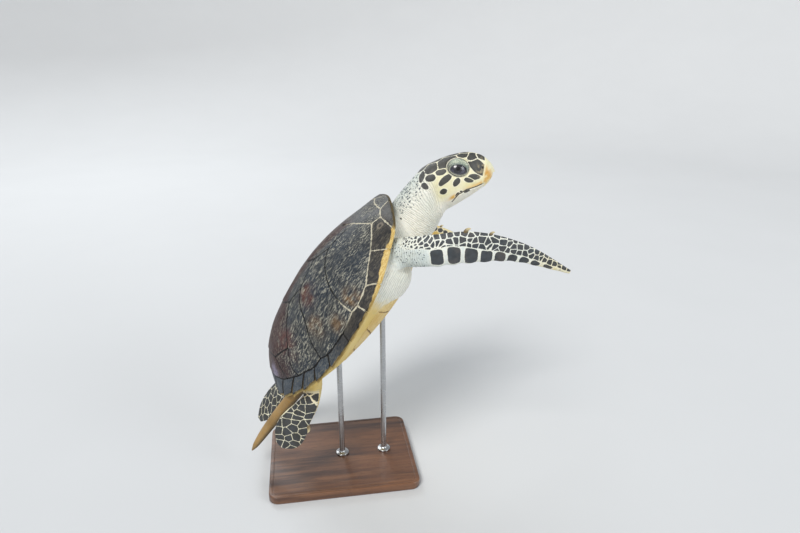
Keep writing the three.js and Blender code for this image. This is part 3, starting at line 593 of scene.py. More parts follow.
MIDDLE_FLANKS = [
    [NECK_CORNERS[:2], NECK_CORNERS[1:], SIDE_SEAMS[0][::-1]],
    [[[0.845, 0.06], [0.71, 0.085]], [[0.71, 0.085], [0.64, 0.058]]],
    [[[0.64, 0.058], [0.515, 0.102]], [[0.515, 0.102], [0.43, 0.078]]],
    [[[0.43, 0.078], [0.28, 0.172]], [[0.28, 0.172], [0.19, 0.105]]],
    [SIDE_SEAMS[4]],
]
for number, flank in enumerate(MIDDLE_FLANKS):
    left = [seam_run(corners) for corners in flank]
    right = [seam_run(corners[::-1]) for corners in map(mirrored, flank[::-1])]
    if number == len(MIDDLE_FLANKS) - 1:
        left.append(seam_run(INNER_SEAM, 15, 17))
        right.insert(0, seam_run(mirrored(INNER_SEAM), 17, 15))
    front, rear = middle_seam(number), middle_seam(number + 1)
    runs = [seam_run(front), *left, seam_run(rear[::-1]), *right]
    mesh = plate_mesh(runs, back_height, PLATE_THICKNESS, *BACK_MESH, keel=1.8, seed=20 + number)
    shell_piece(f"vertebral_{number + 1}", back_horn, [mesh])

SIDE_ROOTS = [  # straight stretches along the middle row beside each side plate, rear to front
    [[0.71, 0.085], [0.845, 0.06]], [[0.515, 0.102], [0.64, 0.058], [0.71, 0.085]],
    [[0.28, 0.172], [0.43, 0.078], [0.515, 0.102]], [[0.19, 0.105], [0.28, 0.172]],
]
for side, turned in (("left", np.asarray), ("right", mirrored)):
    inner = turned(INNER_SEAM)
    for number, stretches in enumerate(SIDE_ROOTS):
        front, rear, root = map(turned, (SIDE_SEAMS[number], SIDE_SEAMS[number + 1], stretches))
        runs = [seam_run(front), seam_run(inner, SIDE_ENDS[number], SIDE_ENDS[number + 1])]
        runs += [seam_run(rear[::-1])] + [seam_run(root[k:k + 2]) for k in range(len(root) - 1)]
        mesh = plate_mesh(runs, back_height, PLATE_THICKNESS, *BACK_MESH, seed=30 + number)
        shell_piece(f"costal_{side}_{number + 1}", back_horn, [mesh])

# ---- Rim plates -----------------------------------------------------------------------------
# Eleven plates along each side, the neck plate in front and one over the tail. They are horn
# on both faces, rounded at the rim, where the front ones show yellow, and the rear ones end in
# corners like saw teeth.

RIM_SERRATION = 5 * MM
RIM_MESH = (20, 14)  # rings on the outer and the inner face
TAIL_NOTCH = 176  # degrees round the rim to where the last plate turns in


def rim_edge(start, end):
    """Rim from one angle to another: on the rear plates it starts short of the rim and comes
    back to it by a parabola, so that each plate's rear corner stands out."""
    part = np.linspace(0, 1, max(3, int((end - start) / 0.55)))
    degrees = start + (end - start) * part
    plan = rim_plan(degrees)
    saw = RIM_SERRATION * np.clip((degrees - 80) / 60, 0, 1) * (part ** 2 - 1)
    away = plan - [0.5, 0]
    return plan + away * (saw / np.linalg.norm(away, axis=1))[:, None]


def yellow_band(flat, values):
    """Share of yellow: all of the under face, and above it a band at the rim, broad along the
    shoulder, missing beside the neck and only a thread at the rear."""
    x, mm = flat[:, 0], flat / MM
    ragged = ripple(mm, 9.0, 51)
    off_neck = eased(-x, -0.95, -0.93)
    width = 1.2 + (6.8 + 4.5 * ripple(mm, 24.0, 50)) * eased(x, 0.66, 0.76) * off_neck
    above = 1 - eased(values["rim"] + 2.0 * ragged, width, width + 1.4)
    above = above * (0.35 + 0.6 * eased(x, 0.6, 0.76))
    blotch = 0.8 + 0.2 * ripple(mm, 25.0, 52)
    return np.clip(np.maximum(above, values["under"] * blotch) * (0.15 + 0.85 * off_neck), 0, 1)


SCAR_PLACE = (0.911, -0.189)  # a ring left by a barnacle on the second right plate
SCAR_RADIUS = 7


def rim_ground(flat):
    """Ground colour of the rim plates: dark brown-grey in front, bluer and paler to the rear."""
    x, y = flat[:, 0], flat[:, 1]
    mottled = 0.5 + 0.8 * ripple(flat / MM, 16.0, 53)
    front = shade("2b2a2b", "3c3833", mottled) * (1 - 0.3 * eased(x, 0.86, 0.95))[:, None]
    ground = laid(front, shade("343e4a", "4c555d", mottled), eased(-x, -0.55, -0.3))
    ring = abs(np.hypot(x - SCAR_PLACE[0], y - SCAR_PLACE[1]) / MM - SCAR_RADIUS)
    scar = 0.7 * (1 - eased(ring + 1.5 * ripple(flat / MM, 5.0, 54), 0.8, 3.0))
    return laid(ground, linear("8a7f70"), scar)


rim_horn = horn_finish("rim_horn", "8f8874", "191a1c", "0f0d0c", 0.38)

for side, turned in (("left", np.asarray), ("right", mirrored)):
    inner, neck_line = turned(INNER_SEAM), turned(NECK_CORNERS)
    corners = [*neck_line[:2], *inner[RIM_ENDS]]
    within = [[seam_run(neck_line[[1, 0]])], [seam_run(inner, RIM_ENDS[0], 0), seam_run(neck_line[[2, 1]])]]
    within += [[seam_run(inner, end, start)] for start, end in zip(RIM_ENDS, RIM_ENDS[1:])]
    for number, (start, end) in enumerate(zip(RIM_SEAMS, RIM_SEAMS[1:])):
        edge = turned(rim_edge(start, end))
        inward = seam_run(np.array([edge[-1], corners[number + 1]]))
        outward = seam_run(np.array([corners[number], edge[0]]))
        runs = [edge[:-1], inward, *within[number], outward]
        mesh = plate_mesh(runs, back_height, PLATE_THICKNESS, *RIM_MESH, 0.8, rim=edge, seed=40 + number)
        shell_piece(f"marginal_{side}_{number + 1}", rim_horn, [mesh], yellow_band, rim_ground)

neck_edge = rim_edge(0, RIM_SEAMS[0])
neck_rim = np.concatenate([mirrored(neck_edge)[::-1], neck_edge[1:]])
runs = [
    neck_rim[:-1], seam_run(np.array([neck_edge[-1], NECK_CORNERS[0]])), seam_run(middle_seam(0)[::-1]),
    seam_run(mirrored([NECK_CORNERS[0], neck_edge[-1]])),
]
mesh = plate_mesh(runs, back_height, PLATE_THICKNESS, *RIM_MESH, 0.9, rim=neck_rim, seed=60)
shell_piece("nuchal", back_horn, [mesh], yellow_band)

tail_edge = rim_edge(RIM_SEAMS[-1], TAIL_NOTCH)
tail_rim = np.concatenate([tail_edge, [[0.006, 0]], mirrored(tail_edge)[::-1]])
runs = [
    tail_rim[:-1], seam_run(mirrored([tail_edge[0], INNER_SEAM[-1]])), seam_run(middle_seam(5)),
    seam_run(np.array([INNER_SEAM[-1], tail_edge[0]])),
]
mesh = plate_mesh(runs, back_height, PLATE_THICKNESS, *RIM_MESH, 0.8, rim=tail_rim, seed=61)
shell_piece("supracaudal", rim_horn, [mesh], yellow_band, rim_ground)

# ---- Belly plates ---------------------------------------------------------------------------
# Six pairs of flat yellow plates along the middle, and four small ones up each bridge towards
# the rim. They are horn like the back's, smoother and hardly streaked, with thin brown seams.


def straight_through(stations, u):
    """Value at u through a row of [place, value] stations, by straight lines."""
    return np.interp(u, *np.array(stations).T)


def through(stations, u):
    """Value at u through a row of [place, value] stations: cubics whose slope at a station is
    that from the one before it to the one after."""
    places, values = np.asarray(stations, float).T
    number = np.arange(len(places))
    before, after = np.maximum(number - 1, 0), np.minimum(number + 1, len(places) - 1)
    slope = (values[after] - values[before]) / (places[after] - places[before])
    u = np.clip(u, places[0], places[-1])
    i = np.clip(np.searchsorted(places, u) - 1, 0, len(places) - 2)
    step, rise = places[i + 1] - places[i], values[i + 1] - values[i]
    t = (u - places[i]) / step
    bend = (1 - t) * (slope[i] * step - rise) + t * (rise - slope[i + 1] * step)
    return values[i] + t * rise + t * (1 - t) * bend


BELLY_MIDDLE = [
    [0.03, 0.005], [0.16, -0.02], [0.27, -0.05], [0.43, -0.094], [0.54, -0.124],
    [0.68, -0.151], [0.77, -0.158], [0.85, -0.144], [0.97, -0.12],
]


def belly_height(x, y):
    """Outer face of the belly: flat across the middle and up to the rim by a fifth power."""
    middle = through(BELLY_MIDDLE, x)
    across = np.clip(abs(y) / (0.93 * np.maximum(rim_half_width(x), 0.05)), 0, 1)
    return middle + (rim_height(x) - 0.018 - middle) * across ** 5


BELLY_OUTLINE = [
    [0.15, 0.045], [0.2, 0.088], [0.28, 0.125], [0.345, 0.19], [0.3585, 0.233], [0.375, 0.285],
    [0.45, 0.318], [0.55, 0.33], [0.63, 0.322], [0.68, 0.285], [0.7, 0.232], [0.71, 0.205],
    [0.78, 0.155], [0.84, 0.11], [0.87, 0.05],
]
BRIDGE_SEAM = [[0.7, 0.232], [0.63, 0.243], [0.5, 0.245], [0.4, 0.24], [0.3585, 0.233]]
BELLY_ROWS = [  # where each seam leaves the middle, and where it ends
    [0.872, [0.87, 0.05]], [0.79, [0.84, 0.11]], [0.68, [0.71, 0.205]], [0.53, [0.5, 0.245]],
    [0.375, [0.345, 0.19]], [0.255, [0.2, 0.088]], [0.148, [0.15, 0.045]],
]
BELLY_SIDES = [  # stretches of the outline and of the bridge seam beside each row, rear to front
    [(BELLY_OUTLINE, 13, 14)], [(BELLY_OUTLINE, 11, 13)],
    [(BRIDGE_SEAM, 2, 0), (BELLY_OUTLINE, 10, 11)],
    [(BELLY_OUTLINE, 3, 4), (BRIDGE_SEAM, 4, 2)], [(BELLY_OUTLINE, 1, 3)], [(BELLY_OUTLINE, 0, 1)],
]
BRIDGE_PLATES = [(0, 1, 8, 10), (1, 2, 7, 8), (2, 3, 6, 7), (3, 4, 4, 6)]  # corners of both lines
BRIDGE_REAR, BRIDGE_FRONT = 4, 10  # corners of the outline that the bridge seam meets


def belly_seam(row):
    """Seam from the middle of the belly outwards, bowed a little forward."""
    middle, end = BELLY_ROWS[row]
    return [[middle, 0], [(middle + end[0]) / 2 + 0.006, end[1] / 2], end]


def belly_ground(flat):
    """Creamy yellow, ochre in clouds, browner towards the bridges."""
    cloud = ripple(flat / MM, 42.0, 61) * 0.6 + ripple(flat / MM, 15.0, 62) * 0.4
    browner = 0.3 * eased(abs(flat[:, 1]) + 0.04 * cloud, 0.2, 0.33)
    return laid(shade("d3b162", "e5d29b", 0.55 + 0.9 * cloud), linear("bf9a50"), browner)


def belly_plate(runs, rim, seed):
    """One plate of the belly; its seams fade out where it ends in the skin or at the rim."""
    places, faces, values = plate_mesh(
        runs, belly_height, -PLATE_THICKNESS, 20, 3, 1.0, rim=rim, rim_round=1.0, seed=seed)
    values["edge"] = np.maximum(values["edge"], 7 - values["rim"])
    return places, faces, values


belly_horn = horn_finish("belly_horn", "ecdcab", "c19c55", "86683a", 0.45, pale=0.0)
belly = []
for turned in (np.asarray, mirrored):
    seam, outline = turned(BRIDGE_SEAM), turned(BELLY_OUTLINE)
    brim = spline(outline, np.linspace(0, 1, 150))
    for row, sides in enumerate(BELLY_SIDES):
        runs = [seam_run(turned([[BELLY_ROWS[row][0], 0], [BELLY_ROWS[row + 1][0], 0]]))]
        runs.append(seam_run(turned(belly_seam(row + 1))))
        runs += [seam_run(turned(corners), first, last) for corners, first, last in sides]
        runs.append(seam_run(turned(belly_seam(row)[::-1])))
        belly.append(belly_plate(runs, brim, seed=70 + row))
    for first, last, rear, front in BRIDGE_PLATES:
        runs = [seam_run(seam, first, last)]
        if rear != BRIDGE_REAR:
            runs.append(seam_run(np.array([seam[last], outline[rear]])))
        runs.append(seam_run(outline, rear, front))
        if front != BRIDGE_FRONT:
            runs.append(seam_run(np.array([outline[front], seam[first]])))
        belly.append(belly_plate(runs, brim, seed=80 + first))
shell_piece("plastron", belly_horn, belly, ground=belly_ground)

# ---- Skin -----------------------------------------------------------------------------------
# One skin over the head, neck, flippers, tail and the flesh inside the shell. Each is a stack of
# rings of its own; they are joined into one surface, whose joints are then relaxed to soft
# folds, and the lids, wrinkles and scales are worked into it afterwards.


def unit(ways):
    """Directions made one long."""
    return ways / np.linalg.norm(ways, axis=-1, keepdims=True)


def curve_frame(path, u):
    """Place and direction at parts u of the spline through a path."""
    return spline(path, u), unit(spline(path, u + 1e-4) - spline(path, u - 1e-4))


def run_length(path, u):
    """Length in millimetres along the spline through a path, up to each part u."""
    fine = np.linspace(0, 1, 400)
    steps = np.linalg.norm(np.diff(spline(path, fine), axis=0), axis=1) / MM
    return np.interp(u, fine, np.concatenate([[0], np.cumsum(steps)]))


def oval(angles, half, above, below, squareness):
    """Sideways and upward parts of a superellipse at angles from the left side, with its own
    height above and below."""
    sideways = np.sign(np.cos(angles)) * abs(np.cos(angles)) ** (2 / squareness)
    upward = np.sign(np.sin(angles)) * abs(np.sin(angles)) ** (2 / squareness)
    return half * sideways, np.where(upward > 0, above, below) * upward


CORE_DEPTH = 8 * MM
TRUNK_ROWS = 88
TRUNK_COLUMNS = 104


def trunk_rings():
    """Rings across the flesh inside the shell, rounded off at the neck end and the tail end,
    with the breast muscle standing out behind each front flipper."""
    run = -np.cos(np.pi * (np.linspace(0, 14, TRUNK_ROWS) + 0.35) / 14.7)[:, None]
    angle = full_turn(TRUNK_COLUMNS)[None]
    x = 0.5 + 0.455 * run
    rounding = (1 - abs(run) ** 6) ** 0.5
    bridge = np.exp(-((x - 0.55) / 0.25) ** 6)
    y = (0.89 + 0.055 * bridge) * rim_half_width(x) * rounding * np.cos(angle)
    border = [[0.14, 0.04]] + BELLY_OUTLINE[:3] + BELLY_OUTLINE[5:] + [[0.88, 0.0]]
    belly_half = straight_through(border, x)
    belly_depth = CORE_DEPTH - 9.5 * MM * eased(abs(y), belly_half - 12 * MM, belly_half)
    face = np.where(angle < np.pi, back_height(x, y) - CORE_DEPTH, belly_height(x, y) + belly_depth)
    muscle = 0.026 * np.exp(-(((x - 0.79) / 0.09) ** 2) - ((abs(y) - 0.245) / 0.055) ** 2)
    level = rim_height(x) + 0.004
    fullness = abs(np.sin(angle)) ** np.where(angle < np.pi, 0.22, 0.22 - 0.14 * bridge)
    z = level + (face - level) * rounding * fullness - np.where(angle < np.pi, 0, muscle)
    rings = np.stack([x + 0 * y, y, z], -1)
    return rings, rings / MM


# The head in its own frame: x along it from the nape, y to its left and z up from the nape line.
HEAD_LENGTH = 0.282
HEAD_DROP = np.radians(38.5)
NAPE = [1.166, 0, -0.021]
HEAD_SQUARENESS = 2.25
AXIS_DEPTH, AXIS_FALL = 0.104, 0.028  # of the sections' middles under the nape line
CHIN_DEPTH, CHIN_TAPER = 0.101, 0.064
HEAD_HALVES = [
    [0, 0.066], [0.22, 0.077], [0.42, 0.074], [0.6, 0.061], [0.78, 0.042], [0.92, 0.026], [1, 0.014],
]
CROWN = [[0, 0.104], [0.1, 0.112], [0.3, 0.118], [0.55, 0.12], [0.75, 0.117], [1, 0.11]]
NECK_PATH = [[0.84, 0, -0.05], [0.93, 0, -0.082], [1.01, 0, -0.092], [1.098, 0, -0.104]]
NECK_HALVES = [[0, 0.15], [0.33, 0.118], [0.7, 0.096], [1, 0.084]]
NECK_TOPS = [[0, 0.09], [0.33, 0.106], [0.7, 0.104], [1, 0.104]]
THROATS = [[0, 0.05], [0.2, 0.07], [0.42, 0.104], [0.7, 0.104], [1, 0.101]]
NECK_STATIONS = [-172, -147, -122, -97, -74, -52]  # millimetres along the crown from the nape
NECK_AND_HEAD_ROWS = 206
HEAD_COLUMNS = 228
EYE_RADIUS = 23 * MM
EYE_DEPTH = 15 * MM
EYE_TILT = np.radians(21)
EYE_PLACE = [0.129, 0.048, -0.05]

head_axes = np.array([
    [np.cos(HEAD_DROP), 0, -np.sin(HEAD_DROP)], [0, 1, 0], [np.sin(HEAD_DROP), 0, np.cos(HEAD_DROP)],
])


def from_head(places):
    """Body places of places in the head's frame."""
    return NAPE + places @ head_axes


def in_head(places):
    """Head-frame places of body places."""
    return (places - NAPE) @ head_axes.T


def head_rings(part, angle, grown=0.0):
    """Points of the head in its own frame at parts of its length and angles round it."""
    part = np.clip(part, 0, 1)
    chin = np.maximum(np.maximum(1 - np.clip(part / 0.955, 0, 1) ** 9, 0) ** 0.5, 0.12)
    half = through(HEAD_HALVES, part) * (1 - part ** 14) ** 0.5
    above = through(CROWN, part) * (1 - part ** 6) ** 0.5
    below = (CHIN_DEPTH - CHIN_TAPER * part) * chin
    side, up = oval(angle, half + grown, above + grown, below + grown, HEAD_SQUARENESS)
    return np.stack([HEAD_LENGTH * part + 0 * side, side, up - AXIS_DEPTH - AXIS_FALL * part], -1)


def crowded(spots, density, count):
    """A number of places over the range of `spots`, closer together where the density is high."""
    filled = np.concatenate([[0], np.cumsum(density[1:] + density[:-1])])
    return np.interp(np.linspace(0, filled[-1], count), filled, spots)


def neck_and_head_rings():
    """Rings from inside the body to the tip of the snout. Row and column spacing is about a
    millimetre round the eyes and twice that elsewhere."""
    sweep = np.linspace(0, 2 * np.pi, 2001)
    density = 1 + 1.1 * (np.exp(-(((sweep - 0.62) / 0.42) ** 2)) + np.exp(-(((sweep - 2.52) / 0.42) ** 2)))
    angle = crowded(sweep, density + 0.3 * (sweep < np.pi), HEAD_COLUMNS + 1)[:-1]

    stations = [0, 0.09, 0.19, 0.29, 0.39, 0.49, 0.59, 0.69, 0.78, 0.86, 0.92, 0.96, 0.985, 0.998]
    skull = from_head(np.stack([head_rings(part, angle) for part in stations]))
    u = 0.94 * np.arange(6) / 7
    centre, along = curve_frame(NECK_PATH, u)
    up = np.cross(along, [0, 1, 0])
    widths = (through(table, u)[:, None] for table in (NECK_HALVES, NECK_TOPS, THROATS))
    side, rise = oval(angle[None], *widths, 2.1)
    throat = centre[:, None] + side[..., None] * [0, 1, 0] + rise[..., None] * up[:, None]
    rings = np.concatenate([throat, skull])
    rings[6] += 0.85 * eased(-np.sin(angle), 0, 0.7)[:, None] * ((rings[5] + rings[7]) / 2 - rings[6])

    lengths = np.concatenate([NECK_STATIONS, np.array(stations) * HEAD_LENGTH / MM])
    spots = np.linspace(lengths[0], lengths[-1], 2001)
    density = 1 + 0.95 * np.exp(-(((spots - 84) / 34) ** 4)) + 0.4 * (spots > 120)
    along_mm = crowded(spots, density, NECK_AND_HEAD_ROWS)
    rings = spline(rings, np.interp(along_mm, lengths, np.linspace(0, 1, len(lengths))))

    start = np.argmin(abs(angle - np.pi / 2))
    turned = np.roll(rings, -start, 1)
    chords = np.linalg.norm(np.roll(turned, -1, 1) - turned, axis=-1)
    round_mm = np.concatenate([np.zeros((len(rings), 1)), np.cumsum(chords, 1)], 1) / MM
    girth = np.minimum(round_mm[:, :-1], round_mm[:, -1:] - round_mm[:, :-1])
    girth = np.roll(girth, start, 1)
    side = np.where(rings[..., 1] < 0, -1.0, 1.0)
    return rings, np.stack([along_mm[:, None] + 0 * girth, girth, side], -1)


# Each limb: its middle line from inside the body to the tip, the way its front edge faces at
# the root and at the tip, and its half widths ahead of and behind the middle line.
FRONT_WIDTHS = {
    "ahead": [
        [0, 0.06], [0.2, 0.062], [0.36, 0.06], [0.55, 0.062], [0.75, 0.046], [0.9, 0.026], [1, 0.008],
    ],
    "behind": [
        [0, 0.06], [0.2, 0.058], [0.36, 0.067], [0.55, 0.061], [0.75, 0.037], [0.9, 0.02], [1, 0.006],
    ],
    "thick": [[0, 0.045], [0.2, 0.036], [0.4, 0.022], [0.7, 0.011], [1, 0.004]],
}
REAR_WIDTHS = {
    "ahead": [
        [0, 0.015], [0.12, 0.026], [0.3, 0.034], [0.55, 0.051], [0.78, 0.074], [0.92, 0.06], [1, 0.02],
    ],
    "behind": [[0, 0.055], [0.3, 0.05], [0.55, 0.058], [0.78, 0.07], [0.92, 0.054], [1, 0.02]],
    "thick": [[0, 0.042], [0.3, 0.03], [0.6, 0.015], [1, 0.004]],
}
LIMBS = {
    "front_right": {
        "path": [
            [0.83, -0.22, -0.01], [0.915, -0.285, -0.11], [1.005, -0.315, -0.235],
            [1.078, -0.345, -0.41], [1.112, -0.38, -0.635],
        ],
        "edges": ([0.9, 0.05, 0.35], [0.97, -0.12, 0.2]),
        "widths": FRONT_WIDTHS, "waves": 0.04, "grid": (196, 80),
    },
    "front_left": {
        "path": [
            [0.83, 0.22, -0.01], [0.865, 0.29, -0.13], [0.868, 0.33, -0.27],
            [0.895, 0.365, -0.44], [0.9, 0.4, -0.6],
        ],
        "edges": ([0.95, -0.05, 0.2], [0.97, 0.12, 0.05]),
        "widths": FRONT_WIDTHS, "waves": 0.04, "grid": (120, 52),
    },
    "rear_right": {
        "path": [[0.2, -0.16, -0.01], [0.1, -0.19, -0.035], [0, -0.2, -0.02], [-0.14, -0.2, -0.005]],
        "edges": ([0.1, -0.8, -0.6], [0, -0.5, -0.85]), "widths": REAR_WIDTHS, "waves": 0, "grid": (100, 64),
    },
    "rear_left": {
        "path": [[0.2, 0.16, -0.01], [0.06, 0.2, -0.03], [-0.1, 0.215, 0], [-0.31, 0.21, 0.035]],
        "edges": ([0, 0.9, 0.2], [0, 0.85, 0.5]), "widths": REAR_WIDTHS, "waves": 0, "grid": (96, 56),
    },
}


def limb_frame(limb, u):
    """Place, way along, way to the front edge and way out of a limb at parts of its length."""
    place, along = curve_frame(limb["path"], u)
    root, tip = np.array(limb["edges"], float)
    edge = root + (tip - root) * u[:, None]
    edge = unit(edge - along * np.einsum("ij,ij->i", edge, along)[:, None])
    return place, along, edge, np.cross(edge, along)


def limb_rings(limb):
    """Blade sections along a limb: half ellipses with a round front edge and a thinner rear
    one. Its chart is the run along it, the reach to its front edge and the height off it."""
    rows, columns = limb["grid"]
    u = 1 - (1 - np.linspace(0, 1, rows)) ** 1.35
    place, _, edge, out = limb_frame(limb, u)
    ahead, behind, thick = (through(limb["widths"][key], u)[:, None] for key in ("ahead", "behind", "thick"))
    run = run_length(limb["path"], u)[:, None]
    behind = behind * (1 + limb["waves"] * np.cos(2 * np.pi * (run - 122) / 42) * eased(run, 95, 125))
    angle = full_turn(columns)[None]
    across = np.where(np.cos(angle) > 0, ahead, behind) * np.cos(angle)
    taper = np.where(np.cos(angle) > 0, 1, 1 - 0.35 * u[:, None] * np.cos(angle) ** 2)
    height = thick * taper * np.sin(angle)
    rings = place[:, None] + across[..., None] * edge[:, None] + height[..., None] * out[:, None]
    return rings, np.stack([run + 0 * across, across / MM, height / MM], -1)


TAIL_RADII = [[0, 0.05], [0.3, 0.035], [0.7, 0.026], [0.92, 0.016], [1, 0.004]]
TAIL_ROWS = 90
TAIL_COLUMNS = 44


def tail_rings():
    """Rings along the tail, a little flatter than wide."""
    u = np.linspace(0, 1, TAIL_ROWS)
    centre, along = curve_frame(TAIL_PATH, u)
    radius = through(TAIL_RADII, u)[:, None]
    angle = full_turn(TAIL_COLUMNS)[None]
    side, rise = radius * np.cos(angle), 0.85 * radius * np.sin(angle)
    up = np.cross(along, [0, 1, 0])
    rings = centre[:, None] + side[..., None] * [0, 1, 0] + rise[..., None] * up[:, None]
    along_mm = run_length(TAIL_PATH, u)[:, None] + 0 * side
    return rings, np.stack([along_mm, side / MM, rise / MM], -1)


BODY_PARTS = {"trunk": trunk_rings(), "neck_and_head": neck_and_head_rings()}
BODY_PARTS.update({name: limb_rings(limb) for name, limb in LIMBS.items()})
BODY_PARTS["tail"] = tail_rings()

clay = new_finish("form_clay")[0]
forms = []
for number, (rings, chart) in enumerate(BODY_PARTS.values()):
    points, faces = closed_over(rings)
    values = {"chart": closed_over(chart)[0], "part": np.full(len(points), number + 1.0)}
    forms.append(mesh_piece(f"form_{number}", on_stand(points), faces, clay, **values))

joined = forms[0]
for form in forms[1:]:
    union = joined.modifiers.new("union", "BOOLEAN")
    union.operation = "UNION"
    union.solver = "MANIFOLD"
    union.object = form
seen = joined.evaluated_get(bpy.context.evaluated_depsgraph_get())
mesh = bpy.data.meshes.new_from_object(seen)
for form in forms:
    bpy.data.objects.remove(form)


def read_array(collection, field, width, kind=np.float64):
    """One value, or a row of values, for each item of a mesh's collection."""
    values = np.empty(len(collection) * width, kind)
    collection.foreach_get(field, values)
    return values.reshape(-1, width) if width > 1 else values


mesh.calc_loop_triangles()
faces = read_array(mesh.loop_triangles, "vertices", 3, np.int32)
points = read_array(mesh.vertices, "co", 3)
links = read_array(mesh.edges, "vertices", 2, np.int32)
chart = read_array(mesh.attributes["chart"].data, "vector", 3)
part = np.round(read_array(mesh.attributes["part"].data, "value", 1)).astype(int)
bpy.data.meshes.remove(mesh)
degree = np.bincount(links.ravel(), minlength=len(points))


def neighbour_mean(values):
    """Mean of each point's neighbours, for every column of values."""
    columns = values.reshape(len(values), -1)
    sums = np.stack([
        np.bincount(links[:, 0], column[links[:, 1]], len(columns))
        + np.bincount(links[:, 1], column[links[:, 0]], len(columns)) for column in columns.T
    ], 1)
    return (sums / degree[:, None]).reshape(values.shape)


def relaxed(values, share, times):
    """Values moved towards the mean of their neighbours by a share, a number of times."""
    share = share.reshape(-1, *([1] * (values.ndim - 1)))
    for _ in range(times):
        values = values + share * (neighbour_mean(values) - values)
    return values


# How far each point is, along the surface, from where two forms meet.
WALK_ROUNDS = 26
RELAX_ROUNDS = 110
FILL_ROUNDS = 6

seam_points = part == 0
joint_mm = np.where(seam_points, 0.0, FAR_MM)
link_mm = np.linalg.norm(points[links[:, 0]] - points[links[:, 1]], axis=1) * 1000
for _ in range(WALK_ROUNDS):
    for here, there in ((0, 1), (1, 0)):
        np.minimum.at(joint_mm, links[:, here], joint_mm[links[:, there]] + link_mm)
points = relaxed(points, 0.6 * (1 - eased(joint_mm, 9, 30)), RELAX_ROUNDS)
known = (~seam_points).astype(float)
for _ in range(FILL_ROUNDS):
    one_of_each = np.eye(len(BODY_PARTS) + 1)[part]
    spread = neighbour_mean(known[:, None] * np.column_stack([chart, one_of_each]))
    share = neighbour_mean(known)
    fill = seam_points & (known == 0) & (share > 0)
    chart[fill] = spread[fill, :3] / share[fill, None]
    part[fill] = spread[fill, 3:].argmax(1)
    known[fill] = 1

flat = pitched(points / SHELL_LENGTH + [BODY_FORWARD, 0, -body_lift / SHELL_LENGTH], -1)
mm = flat / MM
head = in_head(flat) / MM
is_part = {name: part == number + 1 for number, name in enumerate(BODY_PARTS)}
on_head = is_part["neck_and_head"]
clear = eased(joint_mm, 6, 22)


def outward(points):
    """Direction out of the surface at each point: the sum of its faces' own, made one long."""
    a, b, c = (points[faces[:, k]] for k in range(3))
    way = np.cross(b - a, c - a)
    return unit(np.stack([
        sum(np.bincount(faces[:, k], way[:, axis], len(points)) for k in range(3)) for axis in range(3)
    ], 1))


# ---- Marks on the skin ----------------------------------------------------------------------
# Dark horny plates on the head and the flippers, parted by pale lines of soft skin. They are
# set out by their middles, half sizes and turns in millimetres: on the head along it from the
# nape and round it from the crown, on a flipper along it and towards its front edge.


def cells(along, across, plates, seam, spread=1.08):
    """Depth in millimetres inside the nearest plate, less than 0 in the skin between: the
    distance to its own oval or, if nearer, to where the next oval is as close."""
    plates = np.asarray(plates, float)
    turn = np.radians(plates[:, 4])
    ahead, aside = along[:, None] - plates[:, 0], across[:, None] - plates[:, 1]
    first = (ahead * np.cos(turn) + aside * np.sin(turn)) / plates[:, 2]
    second = (aside * np.cos(turn) - ahead * np.sin(turn)) / plates[:, 3]
    away = np.hypot(first, second)
    nearest, next_one = np.partition(away, 1, axis=1)[:, :2].T
    size = plates[:, 2:4].mean(1)[away.argmin(1)]
    return np.minimum((next_one - nearest) / 2, spread - nearest) * size - seam / 2


HEAD_PLATES = [  # along, round, half sizes, turn
    (21, 21, 20, 17, -4), (66.5, 21, 31, 17, -23), (112, 14, 19, 10, 1), (132.5, 21, 19, 10, -51),
    (138.5, 50, 21, 25, -24), (116, 80, 16, 8, -6), (99.5, 88, 13, 7, 5), (-7, 26, 14, 6.4, -60),
    (-12, 52, 12.2, 5.2, 73), (7.5, 46, 14.5, 9.2, 34), (39, 47, 14.5, 7.8, 12), (40.5, 70, 20.5, 8.6, -16),
    (65.8, 86, 13.4, 7.6, -37), (25.7, 95.4, 10, 7.7, 17), (57, 119, 8.2, 5, -25),
    (67.4, 116.4, 6, 5.2, -9), (83.4, 118, 10, 4.4, -4), (118, 0, 14, 10, 0), (88, 0, 24, 11, 0),
    (42, 0, 18, 9, 0), (5, 0, 15, 12, 0), (156, 12, 14, 9, -30),
]
NECK_SPOTS = [  # a loose group beside the front corner of the shell
    (-116, 81, 6.2, 5.2, 20), (-112, 70, 5.2, 4.4, 0), (-111, 59, 6, 5, -20), (-121, 94, 5, 4.4, 0),
    (-100, 66, 4.6, 4, 0),
]
UNDER_PLATES = [  # along the front edge of a front flipper's under face
    (105 + 19 * number, 34 - 0.1 * (19 * number - 60) * (number > 3), 11, 11 - 0.5 * number, 0)
    for number in range(17)
]

OUTSIDE_MM = -20.0  # inside no plate at all

s, g, z = chart.T
warp = 1.4 * np.stack([ripple(mm, 13.0, 70), ripple(mm, 13.0, 71)], 1)
mark_mm = np.full(len(points), OUTSIDE_MM)
head_marks = cells(s + warp[:, 0], g + warp[:, 1], HEAD_PLATES + NECK_SPOTS, 2.2, 1.12)
mark_mm[on_head] = head_marks[on_head]

# The plates of the flippers are cells worked out in the finish, from these values at each point:
# the place in cells, the size of a cell and of a plate of the row behind it, how far the place
# lies ahead of that row and inside the plated zone, and half the width of the lines between.
CELL_SIZES = [[0, 5], [45, 5.5], [130, 15], [250, 15.5], [350, 14], [470, 12]]
ROW_ENDS = [60, 101, 143.5, 187, 230, 266, 299, 330, 360, 390, 425, 470]
ROW_FRONTS = [
    [60, 12], [92, 12], [106, 7], [165, 8], [210, 2], [249, -3], [283, -3], [345, -3], [440, 0],
]
REAR_CELL = 22.0
REAR_TURN = np.radians(132)

